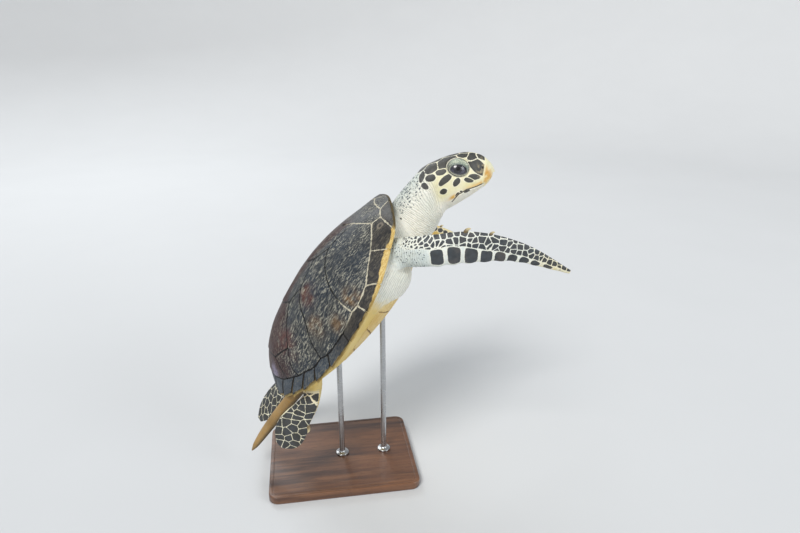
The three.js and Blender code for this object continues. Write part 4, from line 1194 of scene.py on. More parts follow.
cell = np.zeros((len(points), 3))
cell_mm, row_mm, ahead_mm = np.full((3, len(points)), 10.0)
zone_mm, line_mm = np.full(len(points), OUTSIDE_MM), np.full(len(points), 1.0)
fine_run = np.arange(0, 471.0)
cells_run = np.concatenate([[0], np.cumsum(1 / straight_through(CELL_SIZES, fine_run[1:] - 0.5))])


def sided(name):
    """1 on the upper face of a limb and -1 on its under face."""
    return np.where(chart[:, 2] * (1 if name.endswith("left") else -1) > 0, 1, -1)


for name, limb in LIMBS.items():
    ours, side = is_part[name], sided(name)
    a, v = (s + warp[:, 0])[ours], (g + warp[:, 1])[ours]
    behind = (through(limb["widths"]["behind"], s / run_length(limb["path"], 1.0)) / MM)[ours]
    over_edge = 2.5 * side[ours] * abs(z[ours]) + 1.5
    if name.startswith("front"):
        size = straight_through(CELL_SIZES, a)
        root = 1 - eased(a, 88, 104)
        front = straight_through(ROW_FRONTS, a) + 4 * root * ripple(mm[ours], 11.0, 87)
        row = np.interp(a, ROW_ENDS, np.arange(len(ROW_ENDS)))
        cell[ours] = np.stack([np.interp(a, fine_run, cells_run), v / size, row], 1)
        cell_mm[ours] = size
        middles = np.array(ROW_ENDS[1:]) / 2 + np.array(ROW_ENDS[:-1]) / 2
        row_mm[ours] = np.interp(a, middles, np.diff(ROW_ENDS))
        ahead_mm[ours] = v - front
        zone = np.minimum(over_edge, v + behind - 1.5)
        zone_mm[ours] = np.minimum(zone, np.where(v > front, (a - 48) / 4 + 0.05 * v, a - 101))
        line_mm[ours] = 1.1 - 0.3 * eased(a, 180, 260) + 1.6 * (v < front) * (1 - eased(a, 190, 225))
        line_mm[ours] += 0.9 * root * eased(front - v, -16, 0)
        under = cells(a, v, UNDER_PLATES, 2.4, 1.0)
        mark_mm[ours] = np.where(side[ours] < 0, under, OUTSIDE_MM)
    else:
        along = a * np.cos(REAR_TURN) + v * np.sin(REAR_TURN)
        across = v * np.cos(REAR_TURN) - a * np.sin(REAR_TURN)
        cell[ours] = np.stack([along / (1.2 * REAR_CELL), across / (0.85 * REAR_CELL), 0 * a], 1)
        cell_mm[ours], ahead_mm[ours] = REAR_CELL, FAR_MM
        zone_mm[ours] = np.minimum(np.minimum(over_edge, v + behind - 0.3), (a - 36) / 3)
        line_mm[ours] = 0.6 + 1.0 * (1 - eased(a, 45, 80))

soft, fine = ripple(mm, 34.0, 72), ripple(mm, 9.0, 73)
x = flat[:, 0]
ground = shade("efede2", "e2e3d8", 0.5 + 0.8 * soft)
mark = shade("25272b", "383838", 0.5 + 0.8 * fine)
speck = np.zeros(len(points))

# Trunk: white behind the front flippers, yellow along the bridges and at the groin.
yellow = shade("d8b964", "e0c987", 0.5 + 0.8 * soft)
trunk_colour = laid(ground, yellow, eased(-x + 0.02 * fine, -0.70, -0.62))
ground = np.where(is_part["trunk"][:, None], trunk_colour, ground)

# Neck: white with slate specks over the nape, yellower under the cheeks.
nape = eased(-g, -95, -35) * eased(s, -150, -110) * eased(-s, -4, 10)
speck = np.where(on_head, np.clip(0.15 + nape, 0, 1) * eased(-s, -30, 0), speck)
grey_nape = 0.65 * eased(-g, -70, -10) * eased(-s, -30, 0)
neck_colour = laid(ground, shade("b4c2c0", "cdd5cc", 0.5 + soft), grey_nape)
cheek = eased(s, -14, 22) * eased(-g, -132, -98)
neck_colour = laid(neck_colour, shade("e6dfae", "ece6c8", 0.5 + 0.9 * soft), cheek)
streak = np.exp(-(((s - 48 + 1.1 * (g - 120)) / 14) ** 2) - ((g - 121) / 5.5) ** 2)
neck_colour = laid(neck_colour, shade("d9a84c", "e0b765", 0.5 + fine), 1.3 * streak)
ground = np.where(on_head[:, None], neck_colour, ground)

# Flippers: white skin above and ochre-yellow below, the front tips warmed with painted light; the rear ones
# nearly black with a yellow root.
for name in LIMBS:
    ours, side = is_part[name], sided(name)
    front = name.startswith("front")
    above = shade("e9ebe2", "dce3de", 0.5 + 0.9 * soft) if front else shade("d9d3b0", "e0d6a8", 0.5 + soft)
    below = shade("c9a854", "dfcc90", 0.5 + 0.9 * soft)
    blend = eased(side * abs(chart[:, 2]), -2.0, 0.6)
    ours_ground = laid(below, above, blend)
    if front:
        # Painted light: the tip of each front flipper is laid over with warm beige, a near lamp's warm light
        # on it.
        tip = eased(s, 340, 420)
        ours_ground = laid(ours_ground, shade("dcc983", "e4d59b", 0.5 + soft), 0.8 * tip)
        granular = eased(np.where(ahead_mm < 0, 104, 60) - s, -16, 16) * (side > 0)
        ours_ground = laid(ours_ground, shade("bac6c6", "cfd8d4", 0.5 + fine), 0.5 * granular)
        speck = np.where(ours, np.where(ahead_mm < 0, 0.75, 0.9) * granular, speck)
        rubbed = 0.5 * eased(soft + 0.5 * fine, 0.0, 0.6) * np.where(ahead_mm < 0, 1, 0.4)
        dark = shade("1b222a", "2b343d", 0.5 + 0.8 * fine)
        dark = laid(dark, shade("5a4d45", "4a423f", 0.5 + fine), rubbed)
    else:
        ours_ground = laid(ours_ground, yellow, 1 - eased(s, 50, 80))
        dark = shade("0d131c", "1a2330", 0.5 + fine)
    ground = np.where(ours[:, None], ours_ground, ground)
    mark = np.where(ours[:, None], dark, mark)

tail_below, tail_above = shade("8a6a35", "a38149", 0.5 + soft), shade("51422e", "635136", 0.5 + fine)
tail_colour = laid(tail_below, tail_above, eased(z, -6, 10))
ground = np.where(is_part["tail"][:, None], tail_colour, ground)
speck = np.where(is_part["tail"], 0.55 * eased(z, -6, 14), speck)

# Snout: the plates round the nostril and towards the beak are mottled with ochre.
mottle = eased(ripple(mm, 6.0, 74) + 0.5 * ripple(mm, 3.0, 75), -0.05, 0.4) * eased(s + 0.6 * g, 158, 176)
mark = laid(mark, shade("b7a77f", "8f8468", 0.5 + fine), np.where(on_head & (s > 118), 0.8 * mottle, 0))

# ---- Lids, mouth and nostrils ---------------------------------------------------------------
# The lids are skin over the eyeball: a heavy pale upper lid slanting down to the front and a
# lower one in rings. The mouth is a closed line from the beak to its corner; it and the nostrils
# are darkened with painted shade.

LID_OPENING = (1.0, -3.0, 20.5, 11.0, -30)  # middle, half sizes and turn in the plane of the eye
ORBIT = (3.0, 3.2, 30.5, 25.5, -24)
LID_HEIGHT = 15
LID_CURVE = 35  # radius of the lids' own dome, in millimetres
FOLD_PITCH = 4.6
MOUTH_LINE = [
    [0.32, -0.118], [0.262, -0.14], [0.225, -0.153], [0.18, -0.149],
    [0.13, -0.138], [0.09, -0.142], [0.058, -0.162],
]
NOSTRIL = [147.7, 22.1, -58.9]
UPPER_HORN_LINE = [[0.19, -0.22], [0.206, -0.14], [0.232, -0.105], [0.262, -0.06], [0.29, 0.02]]
LOWER_HORN_LINE = [[0.205, -0.3], [0.207, -0.17], [0.212, -0.155], [0.205, -0.12]]

eye_side = np.where(head[:, 1] < 0, -1, 1)
axis = np.stack([0 * head[:, 0], eye_side * np.cos(EYE_TILT), 0 * head[:, 0] + np.sin(EYE_TILT)], 1)
upward = np.stack([0 * head[:, 0], -eye_side * np.sin(EYE_TILT), 0 * head[:, 0] + np.cos(EYE_TILT)], 1)
from_eye = head - np.array(EYE_PLACE) / MM * np.stack([1 + 0 * eye_side, eye_side, 1 + 0 * eye_side], 1)
ahead, above = from_eye[:, 0], np.einsum("ij,ij->i", from_eye, upward)
proud = np.einsum("ij,ij->i", from_eye, axis)


def oval_mm(first, second, middle_first, middle_second, half_first, half_second, degrees=0.0):
    """Distance in millimetres outside an oval, less than 0 inside, along the line to its middle."""
    turn = np.radians(degrees)
    u, v = first - middle_first, second - middle_second
    u, v = u * np.cos(turn) + v * np.sin(turn), v * np.cos(turn) - u * np.sin(turn)
    ratio = np.maximum(np.hypot(u / half_first, v / half_second), 0.05)
    return np.hypot(u, v) * (1 - 1 / ratio)


near_eye = on_head & (proud > -14) & (s > 30)
lid_mm = np.where(near_eye, oval_mm(ahead, above, *LID_OPENING), 40.0)
orbit_mm = np.where(near_eye, oval_mm(ahead, above, *ORBIT), 40.0)
off_axis = np.hypot(ahead, above)
cover = LID_HEIGHT - (LID_CURVE - np.sqrt(np.maximum(LID_CURVE ** 2 - off_axis ** 2, 0)))
upper = eased(above + 0.55 * ahead, -6, 2) * eased(ahead, -26, -6)
over_edge, behind_edge = 1 - np.exp(-lid_mm / 0.9), 1 - np.exp(lid_mm / 1.3)
lid_depth = np.where(lid_mm > 0, (1.4 + 1.2 * upper) * over_edge, -3.2 * behind_edge)
folds = np.cos(2 * np.pi * lid_mm / FOLD_PITCH) * (0.42 - 0.27 * upper)
folds = folds * eased(lid_mm, 1.2, 3.5) * eased(-lid_mm, -18, -9)
grain = (0.34 * ripple(mm, 2.7, 76) + 0.2 * ripple(mm, 5.5, 79)) * eased(lid_mm, 1, 3)
on_lids = 1 - eased(orbit_mm, -4, 5)
rise = (cover + lid_depth + folds + grain - proud) * on_lids
brow = 0.9 * np.exp(-((orbit_mm - 5.5) / 3.0) ** 2) * eased(above, 0, 14)
groove = brow - 1.0 * np.exp(-((orbit_mm - 1.0) / 2.0) ** 2)
shift = axis * ((rise + groove * (near_eye & (lid_mm > 3))) * near_eye)[:, None]

line = np.array(MOUTH_LINE) / MM
start, run = line[:-1], np.diff(line, axis=0)
gap = head[:, None, [0, 2]] - start
along = np.clip((gap * run).sum(-1) / (run ** 2).sum(-1), 0, 1)
mouth_mm = np.linalg.norm(gap - along[..., None] * run, axis=-1).min(1)
mouth_mm = np.where(on_head & (abs(head[:, 1]) > 4) & (s > 20), mouth_mm, 30.0)
nostril_mm = np.linalg.norm((head - NOSTRIL) * [1, 0, 1.35], axis=1)
nostril_mm = np.where(on_head & (abs(abs(head[:, 1]) - NOSTRIL[1]) < 9), nostril_mm, 30.0)
above_line = head[:, 2] - straight_through(line[::-1], head[:, 0])
lip_limit = mouth_mm - np.where(above_line > 0, 2.5, 0.9)
upper_horn, lower_horn = (
    np.interp(head[:, 2], *(np.array(border) / MM).T[::-1]) for border in (UPPER_HORN_LINE, LOWER_HORN_LINE))
horn_mm = head[:, 0] - np.where(above_line > 0, upper_horn, lower_horn)
horn_mm = np.where(on_head & (s > 60), horn_mm, -40.0)
mark_limit = np.minimum(np.minimum(orbit_mm - 1.2, lip_limit), -horn_mm - 1.0)
mark_mm = np.where(on_head, np.minimum(mark_mm, mark_limit), mark_mm)
# Painted shade: distance to the mouth line and the nostrils, by which they are darkened to near black as the
# shadow inside the closed mouth and the holes; none under the beak's horn.
crease = np.minimum(mouth_mm, nostril_mm - 1.3) + 9 * eased(horn_mm, 0, 2)
lip = np.exp(-((above_line - 4.5) / 5.0) ** 2) * eased(head[:, 0], 58, 120) * (above_line > 0)
ground = laid(ground, shade("d79c42", "e3b765", 0.5 + fine), np.where(on_head, 0.85 * lip, 0))
jaw = on_head & (above_line < 0) & (head[:, 0] > 40)
ground = laid(ground, shade("ebe9de", "e4dfcd", 0.5 + soft), np.where(jaw, eased(-above_line, 0.5, 2.5), 0))

grains = eased(ripple(mm, 2.1, 77) + 0.6 * ripple(mm, 1.5, 78), -0.1, 0.45)
dark_ring = shade("363741", "62636b", grains)
lid_edge, lid_middle = shade("5f6b68", "98a295", grains), shade("94a18f", "ced3bc", grains)
upper_lid = laid(lid_edge, lid_middle, eased(lid_mm, 1, 13))
lid_colour = laid(dark_ring, upper_lid, upper * eased(-orbit_mm, 1.0, 4.5) * eased(lid_mm, 0.5, 2.5))
lower_rings = eased(np.cos(2 * np.pi * (lid_mm + 0.4) / FOLD_PITCH), 0.0, 0.8)
lower_rings = lower_rings * eased(lid_mm, 1, 3) * eased(-lid_mm, -12, -7)
lid_colour = laid(lid_colour, shade("b7b79f", "d5d3b4", grains), 0.9 * (1 - upper) * lower_rings)
lid_colour = laid(lid_colour, shade("24262a", "2b2c30", 0.5 + fine), 1 - eased(lid_mm, 0.2, 1.3))
ground = laid(ground, lid_colour, np.where(near_eye, 1 - eased(orbit_mm, -1.5, 1.5), 0))
speck = speck * eased(orbit_mm, 0, 6)

# ---- Relief of the skin ---------------------------------------------------------------------
# Plates stand a little proud of the skin between them; the neck and the roots of the limbs are
# wrinkled across, and the skin behind each front flipper is creased along the body.

normal = outward(points)
wander = ripple(mm, 26.0, 80)
wrinkle = np.sin(2 * np.pi * (s + 4.0 * wander + 1.6 * ripple(mm, 9.0, 81)) / 8.0)
neck_wrinkle = (0.45 + 0.6 * eased(g, 30, 100)) * eased(-s, -34, -2) * (0.55 + 0.45 * ripple(mm, 21.0, 82))
pebbles = ripple(mm, 3.4, 83) * (0.16 + 0.2 * eased(-s, -20, 10))
relief = np.where(on_head, wrinkle * neck_wrinkle + pebbles, 0)
on_limb = part >= 3
limb_root = 1 - eased(s, 60, 125)
relief = np.where(on_limb, wrinkle * 0.5 * limb_root + 0.3 * ripple(mm, 4.5, 84) * limb_root, relief)
along_body = np.sin(2 * np.pi * (mm[:, 1] - 0.6 * mm[:, 2] + 7 * ripple(mm * [0.35, 1, 1], 18.0, 85)) / 7.5)
relief = np.where(is_part["trunk"], 0.45 * along_body * eased(x, 0.6, 0.68) + 0.25 * wander, relief)
plates = eased(mark_mm, -1.4, 0.6) * (0.5 + 0.25 * eased(mark_mm, 0, 6))
relief = relief * (0.3 + 0.7 * clear) + plates * clear * (part > 1)
relief = relief - 1.5 * np.exp(-(mouth_mm / 1.7) ** 2) + 0.8 * np.exp(-((mouth_mm - 3.6) / 2.0) ** 2)
relief = relief - 3.0 * np.exp(-(nostril_mm / 2.4) ** 2) + 0.7 * np.exp(-((nostril_mm - 4.4) / 1.4) ** 2)
relief = np.where(near_eye, relief * eased(orbit_mm, -1, 5), relief) + 0.35 * ripple(mm, 40.0, 86)
under_horn = eased(horn_mm, 1.0, 3.0)
relief = relief * (1 - under_horn) - 0.9 * under_horn
points = points + normal * relief[:, None] * 0.001 + pitched(shift @ head_axes) * 0.001

GROUND_ROUNDS = 24
MARK_ROUNDS = 8

soften = 0.5 * (1 - eased(joint_mm, 4, 20))
ground, mark = relaxed(ground, soften, GROUND_ROUNDS), relaxed(mark, soften, MARK_ROUNDS)
mark_mm = mark_mm - 6 * (1 - eased(joint_mm, 3, 10))


BAR_ROUNDING = 15.0  # how softly the corners of the row's plates are cut


def skin_finish():
    """Skin: soft ground colour with specks, dark plates with pale lines, fine crepe between with painted
    shade in its valleys, and painted shade in the mouth line and nostrils. The plates of the flippers are
    the depth inside cells, or inside a row of bars behind them."""
    material, shader, add = new_finish("turtle_skin")
    ground, mark = stored(add, "ground", "mark", kind="Color")
    lie, cell = stored(add, "lie", "cell", kind="Vector")
    inside, speck, crease, crepe = stored(add, "mark_mm", "speck", "crease", "crepe")
    cell_mm, row_mm, ahead_mm, zone_mm, line_mm = stored(
        add, "cell_mm", "row_mm", "ahead_mm", "zone_mm", "line_mm")
    place = object_place(add)
    wobble = speckle(add, place, 420, detail=2.0)
    mottled = speckle(add, place, 90, detail=3.0)
    waver = speckle(add, lie, (42, 30, 42), detail=4.0, rough=0.6)
    phase = reckoned(add, "MULTIPLY", add("SeparateXYZ", {0: lie}).outputs[0], 1250.0)
    phase = reckoned(add, "ADD", phase, reckoned(add, "MULTIPLY", waver, 22.0))
    beads = speckle(add, lie, (260, 240, 240), detail=2.0, rough=0.6)
    lines = between(add, reckoned(add, "SINE", phase, 0.0), -1.0, 1.0)
    lines = reckoned(add, "MULTIPLY", lines, between(add, beads, 0.3, 0.7, 0.45, 1.0))
    pores = add("TexVoronoi", {"Vector": place, "Scale": 560.0}, feature="DISTANCE_TO_EDGE")
    pores = pores.outputs["Distance"]
    sown_at = add("Mapping", {"Vector": lie, "Scale": (200, 165, 165)}).outputs[0]
    spots = add("TexVoronoi", {"Vector": sown_at, "Scale": 1.0, "Randomness": 0.9}).outputs["Distance"]
    shaded = mixed(add, between(add, mottled, 0.4, 0.75, 0.0, 0.14), ground, linear("9a9884"))
    # Painted shade: the valleys of the fine crepe are darkened to grey-green.
    valley_shade = reckoned(add, "MULTIPLY", between(add, lines, 0.5, 0.0, 0.0, 0.34), crepe)
    shaded = mixed(add, valley_shade, shaded, linear("82877c"))
    sown = between(add, reckoned(add, "SUBTRACT", reckoned(add, "MULTIPLY", speck, 0.42), spots), 0.0, 0.07)
    shaded = mixed(add, reckoned(add, "MULTIPLY", sown, 0.9), shaded, linear("3f4c54"))
    seeds = {"Vector": cell, "Scale": 1.0, "Randomness": 0.78}
    first = add("TexVoronoi", seeds, feature="F1", voronoi_dimensions="2D").outputs["Distance"]
    second = add("TexVoronoi", seeds, feature="F2", voronoi_dimensions="2D").outputs["Distance"]
    edges = reckoned(add, "MULTIPLY", reckoned(add, "SUBTRACT", second, first), 0.5)
    row = add("SeparateXYZ", {0: cell}).outputs[2]
    bars = reckoned(add, "SUBTRACT", reckoned(add, "PINGPONG", row, 0.5), 0.07)
    bars = reckoned(add, "MULTIPLY", bars, row_mm)
    behind_mm = reckoned(add, "SUBTRACT", reckoned(add, "SUBTRACT", line_mm, 0.8), ahead_mm)
    for limit in (behind_mm, zone_mm):
        bars = add("Math", {0: bars, 1: limit, 2: BAR_ROUNDING}, operation="SMOOTH_MIN").outputs[0]
    netted = reckoned(add, "MINIMUM", reckoned(add, "MULTIPLY", edges, cell_mm), ahead_mm)
    netted = reckoned(add, "MINIMUM", reckoned(add, "MAXIMUM", netted, bars), zone_mm)
    inside = reckoned(add, "MAXIMUM", inside, reckoned(add, "SUBTRACT", netted, line_mm))
    reach = reckoned(add, "ADD", inside, between(add, wobble, 0.3, 0.7, -0.35, 0.35))
    border = between(add, reach, -4.0, -0.6, 0.0, 0.5)
    border = reckoned(add, "MULTIPLY", border, between(add, reach, 0.6, 0.0))
    shaded = mixed(add, border, shaded, linear("f0eede"))
    darkened = mixed(add, between(add, mottled, 0.35, 0.75, 0.0, 0.22), mark, linear("504e4b"))
    colour = mixed(add, between(add, reach, -0.35, 0.35, 0.0, 0.97), shaded, darkened)
    # Painted shade in the mouth line and the nostrils.
    colour = mixed(add, between(add, crease, 2.2, 1.0, 0.0, 0.86), colour, linear("2a2420"))
    relief = reckoned(add, "MULTIPLY", reckoned(add, "MULTIPLY", lines, 1.4), crepe)
    relief = reckoned(add, "ADD", relief, between(add, pores, 0.0, 0.2, 0.0, 0.25))
    relief = reckoned(add, "ADD", relief, between(add, reach, -0.6, 0.4, 0.0, 0.5))
    set_shader(material, shader, {
        "Base Color": colour, "Roughness": between(add, reach, -0.5, 0.5, 0.56, 0.4),
        "Normal": bumped(add, relief, 0.6, 0.0009),
        "Subsurface Weight": 0.06, "Subsurface Radius": (0.004, 0.003, 0.002), "Subsurface Scale": 1.0,
    })
    return material


across_body = np.stack([0.15 * abs(mm[:, 1]) - mm[:, 2], 0.6 * mm[:, 0], 0.5 * mm[:, 1]], 1)
lie = np.where(is_part["trunk"][:, None], across_body, np.stack([s, g, 0 * s], 1)) / 1000
crepe = np.where(on_head, eased(-s, -25, 5), np.where(is_part["tail"], 0.5, limb_root))
crepe = np.where(is_part["trunk"], eased(x, 0.6, 0.72), crepe) * (0.4 + 0.6 * clear)
skin = mesh_piece(
    "skin", points, faces, skin_finish(), ground=ground, mark=mark, mark_mm=mark_mm, speck=speck * clear,
    crease=crease, crepe=crepe, lie=lie, cell=cell, cell_mm=cell_mm, row_mm=row_mm, ahead_mm=ahead_mm,
    zone_mm=np.minimum(zone_mm, joint_mm - 4), line_mm=line_mm,
)
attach(skin, "root")
FLESH = ["head", "lower_jaw", "neck", "trunk", "tail"] + [f"flipper_{name}" for name in LIMBS]
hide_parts(*FLESH)

# ---- Eyes -----------------------------------------------------------------------------------
# Each eye is a thick glossy lens set behind the lids: a black pupil in a dark violet-grey iris
# with fine spokes, slate round it, under a clear wet surface.

PUPIL_MM = 5.6
IRIS_MM = 11.5
EYE_ROWS = 48
EYE_COLUMNS = 88


def eye_finish():
    """Finish of the eye by the distance from its middle: pupil, iris with fine spokes, slate."""
    material, shader, add = new_finish("eye_gloss")
    off = stored(add, "off_mm")[0]
    rays = speckle(add, stored(add, "spokes", kind="Vector")[0], 1, detail=3.0, rough=0.7)
    haze = speckle(add, object_place(add), 120, detail=3.0)
    iris = mixed(add, between(add, rays, 0.35, 0.68), linear("1f1e24"), linear("3f3d44"))
    slate = mixed(add, between(add, haze, 0.35, 0.65), linear("32323d"), linear("4e4d5c"))
    colour = mixed(add, between(add, off, IRIS_MM - 1.5, IRIS_MM + 2.5), iris, slate)
    from_rim = reckoned(add, "ABSOLUTE", reckoned(add, "SUBTRACT", off, IRIS_MM), 0.0)
    colour = mixed(add, between(add, from_rim, 1.3, 0.3, 0.0, 0.6), colour, linear("15161a"))
    edge = reckoned(add, "ADD", off, between(add, rays, 0.3, 0.7, -0.35, 0.35))
    colour = mixed(add, between(add, edge, PUPIL_MM + 0.5, PUPIL_MM - 0.3), colour, linear("050506"))
    set_shader(material, shader, {
        "Base Color": colour, "Roughness": 0.25,
        "Coat Weight": 1.0, "Coat Roughness": 0.05, "Coat IOR": 1.38,
    })
    return material


eye_gloss = eye_finish()
polar = np.linspace(0, np.pi, EYE_ROWS + 2)[1:-1, None]
around = full_turn(EYE_COLUMNS)[None]
for name, side in (("eye_left", 1), ("eye_right", -1)):
    out = np.array([0, side * np.cos(EYE_TILT), np.sin(EYE_TILT)])
    up = np.array([0, -side * np.sin(EYE_TILT), np.cos(EYE_TILT)])
    off_axis = (EYE_RADIUS - 0.6 * MM) * np.sin(polar)
    first, second = off_axis * np.cos(around), off_axis * np.sin(around)
    height = (EYE_DEPTH - 0.2 * MM) * np.cos(polar) + 0 * first
    middle = np.array(EYE_PLACE) * [1, side, 1]
    rings = middle + first[..., None] * [1, 0, 0] + second[..., None] * up + height[..., None] * out
    points, faces = closed_over(from_head(rings))
    spokes = np.stack([9 * np.cos(around), 9 * np.sin(around), 0 * around], -1)
    spokes = spokes + off_axis[..., None] / MM / 8 * [0, 0, 1]
    values = {
        "off_mm": np.concatenate([(off_axis / MM + 0 * first).ravel(), [0, 0]]),
        "spokes": np.concatenate([spokes.reshape(-1, 3), np.zeros((2, 3))]),
    }
    eye = mesh_piece(name, on_stand(points), faces, eye_gloss, **values)
    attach(eye, "root")
    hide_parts(name)

# ---- Beak -----------------------------------------------------------------------------------
# A horny sheath over the front of each jaw, narrow and hooked like a hawk's bill. It is thin
# horn, feathered out on the skin at its back edge and sharp along the mouth.


HOOK_LENGTH = 3.4
INNER_DEPTH = 1.5
FIT_ROUNDS = 30
BEAK_ROWS = 91
BEAK_COLUMNS = 64


def jaw_angle(part):
    """Angle round the head, right half, of the mouth line at a part of the head's length."""
    mouth = straight_through(MOUTH_LINE[::-1], HEAD_LENGTH * part)
    height = mouth + AXIS_DEPTH + AXIS_FALL * part
    above = through(CROWN, part) * (1 - part ** 6) ** 0.5
    below = CHIN_DEPTH - CHIN_TAPER * part
    share = np.clip(height / np.where(height > 0, above, below), -0.999, 0.999)
    return np.arcsin(np.sign(share) * abs(share) ** (HEAD_SQUARENESS / 2))


def beak_sheath(name, horn_line, tip, lower):
    """Sheet over the front of a jaw, from its back edge to the tip and from the mouth line on
    one side round to the other, with an outer and an inner face. The back edge follows the horn
    line, found by going back and forth between a place's height and the line a few times."""
    across = np.sin(np.linspace(-1, 1, BEAK_ROWS) * np.pi / 2)[:, None]
    back = np.full_like(across, 0.85)
    direction = -1 if lower else 1

    def angle_at(part):
        edge = jaw_angle(part)
        return direction * np.pi / 2 - across * (direction * np.pi / 2 - edge)

    for _ in range(FIT_ROUNDS):
        place = head_rings(back, angle_at(back))
        line = np.interp(place[..., 2], *np.array(horn_line).T[::-1])
        back = 0.5 * back + 0.5 * np.clip(line / HEAD_LENGTH, 0.5, tip - 0.02)
    t = np.linspace(0, 1, BEAK_COLUMNS)[None] ** 0.9
    part = back + (tip - back) * t
    angle = angle_at(part)
    outer = head_rings(part, angle)
    side = unit(head_rings(part, angle, 1.0) - outer)
    mm_back = (part - back) * HEAD_LENGTH / MM
    lip = (1 - abs(across)) * 22
    thick = (0.1 + 0.95 * eased(mm_back, 0, 3.5)) * (0.45 + 0.55 * eased(lip + 0 * part, 0, 1.5))
    thick = thick + 0.07 * np.sin(2 * np.pi * mm_back / 6.0) * eased(mm_back, 1, 4)
    inner = outer - side * (INNER_DEPTH * MM)
    outer = outer + side * (thick * MM)[..., None]
    hook = eased(part, tip - 0.07, tip) * (0 if lower else HOOK_LENGTH) * MM
    for face in (outer, inner):
        face[..., 2] -= hook * 0.75
        face[..., 0] += hook * 0.35
    rows, columns = part.shape
    sheet = grid_faces(rows, columns, around=False)
    loop = np.concatenate([
        np.arange(columns - 1), np.arange(rows - 1) * columns + columns - 1,
        (rows - 1) * columns + np.arange(columns - 1, 0, -1), np.arange(rows - 1, 0, -1) * columns,
    ])
    after, count = np.roll(loop, -1), rows * columns
    wall = [np.stack([loop, loop + count, after], 1), np.stack([after, loop + count, after + count], 1)]
    faces = np.concatenate([sheet, sheet[:, ::-1] + count, *wall])
    points = np.concatenate([outer.reshape(-1, 3), inner.reshape(-1, 3)])
    tipward = np.tile(eased(part, 0.86, 0.985).ravel(), 2)
    off_lip = np.tile((lip + 0 * part).ravel(), 2)
    made = mesh_piece(name, on_stand(from_head(points)), faces, beak_horn, tipward=tipward,
                      back_mm=np.tile(mm_back.ravel(), 2), off_lip=off_lip, lie=points * SHELL_LENGTH)
    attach(made, "root")
    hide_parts(name)


def beak_finish():
    """Orange-yellow horn, paler and bluish at the tip, with brown rubs and lines of growth."""
    material, shader, add = new_finish("beak_horn")
    tip, back, off_lip = stored(add, "tipward", "back_mm", "off_lip")
    lie = stored(add, "lie", kind="Vector")[0]
    cloud = speckle(add, lie, 70, detail=3.0)
    lines = speckle(add, lie, (260, 120, 120), detail=3.0)
    colour = mixed(add, between(add, cloud, 0.35, 0.65), linear("cf9a42"), linear("e2b866"))
    height = reckoned(add, "ADD", off_lip, between(add, cloud, 0.3, 0.7, -3.0, 3.0))
    colour = mixed(add, between(add, height, 2.0, 9.5, 0.0, 0.92), colour, linear("e3d9ac"))
    colour = mixed(add, between(add, lines, 0.55, 0.75, 0.0, 0.4), colour, linear("96703a"))
    colour = mixed(add, between(add, back, 11.0, 0.5, 0.0, 0.85), colour, linear("e6dfb6"))
    colour = mixed(add, reckoned(add, "MULTIPLY", tip, 0.8), colour, linear("dfe0c6"))
    set_shader(material, shader, {
        "Base Color": colour, "Roughness": between(add, cloud, 0.3, 0.7, 0.28, 0.45),
        "Normal": bumped(add, lines, 0.2, 0.0005),
        "Coat Weight": 0.2, "Coat Roughness": 0.2, "Subsurface Weight": 0.08,
        "Subsurface Radius": (0.004, 0.002, 0.001), "Subsurface Scale": 1.0,
    })
    return material


beak_horn = beak_finish()
beak_sheath("beak_upper", UPPER_HORN_LINE, 0.992, lower=False)
beak_sheath("beak_lower", LOWER_HORN_LINE, 0.95, lower=True)

# ---- Claws ----------------------------------------------------------------------------------
# Two curved claws on the front edge of each front flipper and one on each rear flipper: solid
# horn, brown at the root and worn pale at the point.

FRONT_CLAWS = (0.5, 0.62)
REAR_CLAWS = (0.62,)
CLAW_LENGTHS = (15 * MM, 11 * MM)
CLAW_SIDES = 28


def claw_finish():
    """Horn of the claws: brown to pale along them, with fine lines lengthwise."""
    material, shader, add = new_finish("claw_horn")
    along = stored(add, "along")[0]
    grain = speckle(add, object_place(add), 600, detail=3.0)
    colour = mixed(add, between(add, along, 0.1, 0.9), linear("6b5a3c"), linear("cfc096"))
    colour = mixed(add, between(add, grain, 0.5, 0.75, 0.0, 0.5), colour, linear("4a3d28"))
    bump = bumped(add, grain, 0.3, 0.0004)
    set_shader(material, shader, {"Base Color": colour, "Roughness": 0.38, "Normal": bump})
    return material


claw_horn = claw_finish()
for name, limb in LIMBS.items():
    for number, place in enumerate(FRONT_CLAWS if name.startswith("front") else REAR_CLAWS):
        length = CLAW_LENGTHS[number]
        root, along, edge, out = (value[0] for value in limb_frame(limb, np.array([place])))
        start = root + edge * (through(limb["widths"]["ahead"], place) - 4 * MM) - along * 2 * MM
        bend = start + edge * (0.5 * length + 4 * MM) + along * 0.25 * length
        tip = start + edge * (0.48 * length + 4 * MM) + along * 0.95 * length
        u = np.linspace(0, 1, 26)[:, None]
        path = (1 - u) ** 2 * start + 2 * u * (1 - u) * bend + u ** 2 * tip
        way = unit((1 - u) * (bend - start) + u * (tip - bend))
        sideways = unit(np.cross(way, np.cross(edge, along)))
        radius = 0.33 * length * (1 - u ** 1.8) ** 0.8 + 0.35 * MM
        angle = full_turn(CLAW_SIDES)[None, :, None]
        across = (radius * 1.05)[:, None] * np.cos(angle) * sideways[:, None]
        over = (radius * 0.8)[:, None] * np.sin(angle) * np.cross(sideways, way)[:, None]
        points, faces = closed_over(path[:, None] + across + over)
        share = np.concatenate([np.repeat(u[:, 0], CLAW_SIDES), [0, 1]])
        node = f"claw_{name}_{number + 1}"
        claw = mesh_piece("horn_of_" + node, on_stand(points), faces, claw_horn, along=share)
        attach(claw, "root")
        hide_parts(node)

# ---- Stand ----------------------------------------------------------------------------------
# A walnut board with a beaded edge, lacquered satin, and two steel rods turned with a collar at
# the foot and a round pad under the belly. A thin felt disc lies between each pad and the horn.

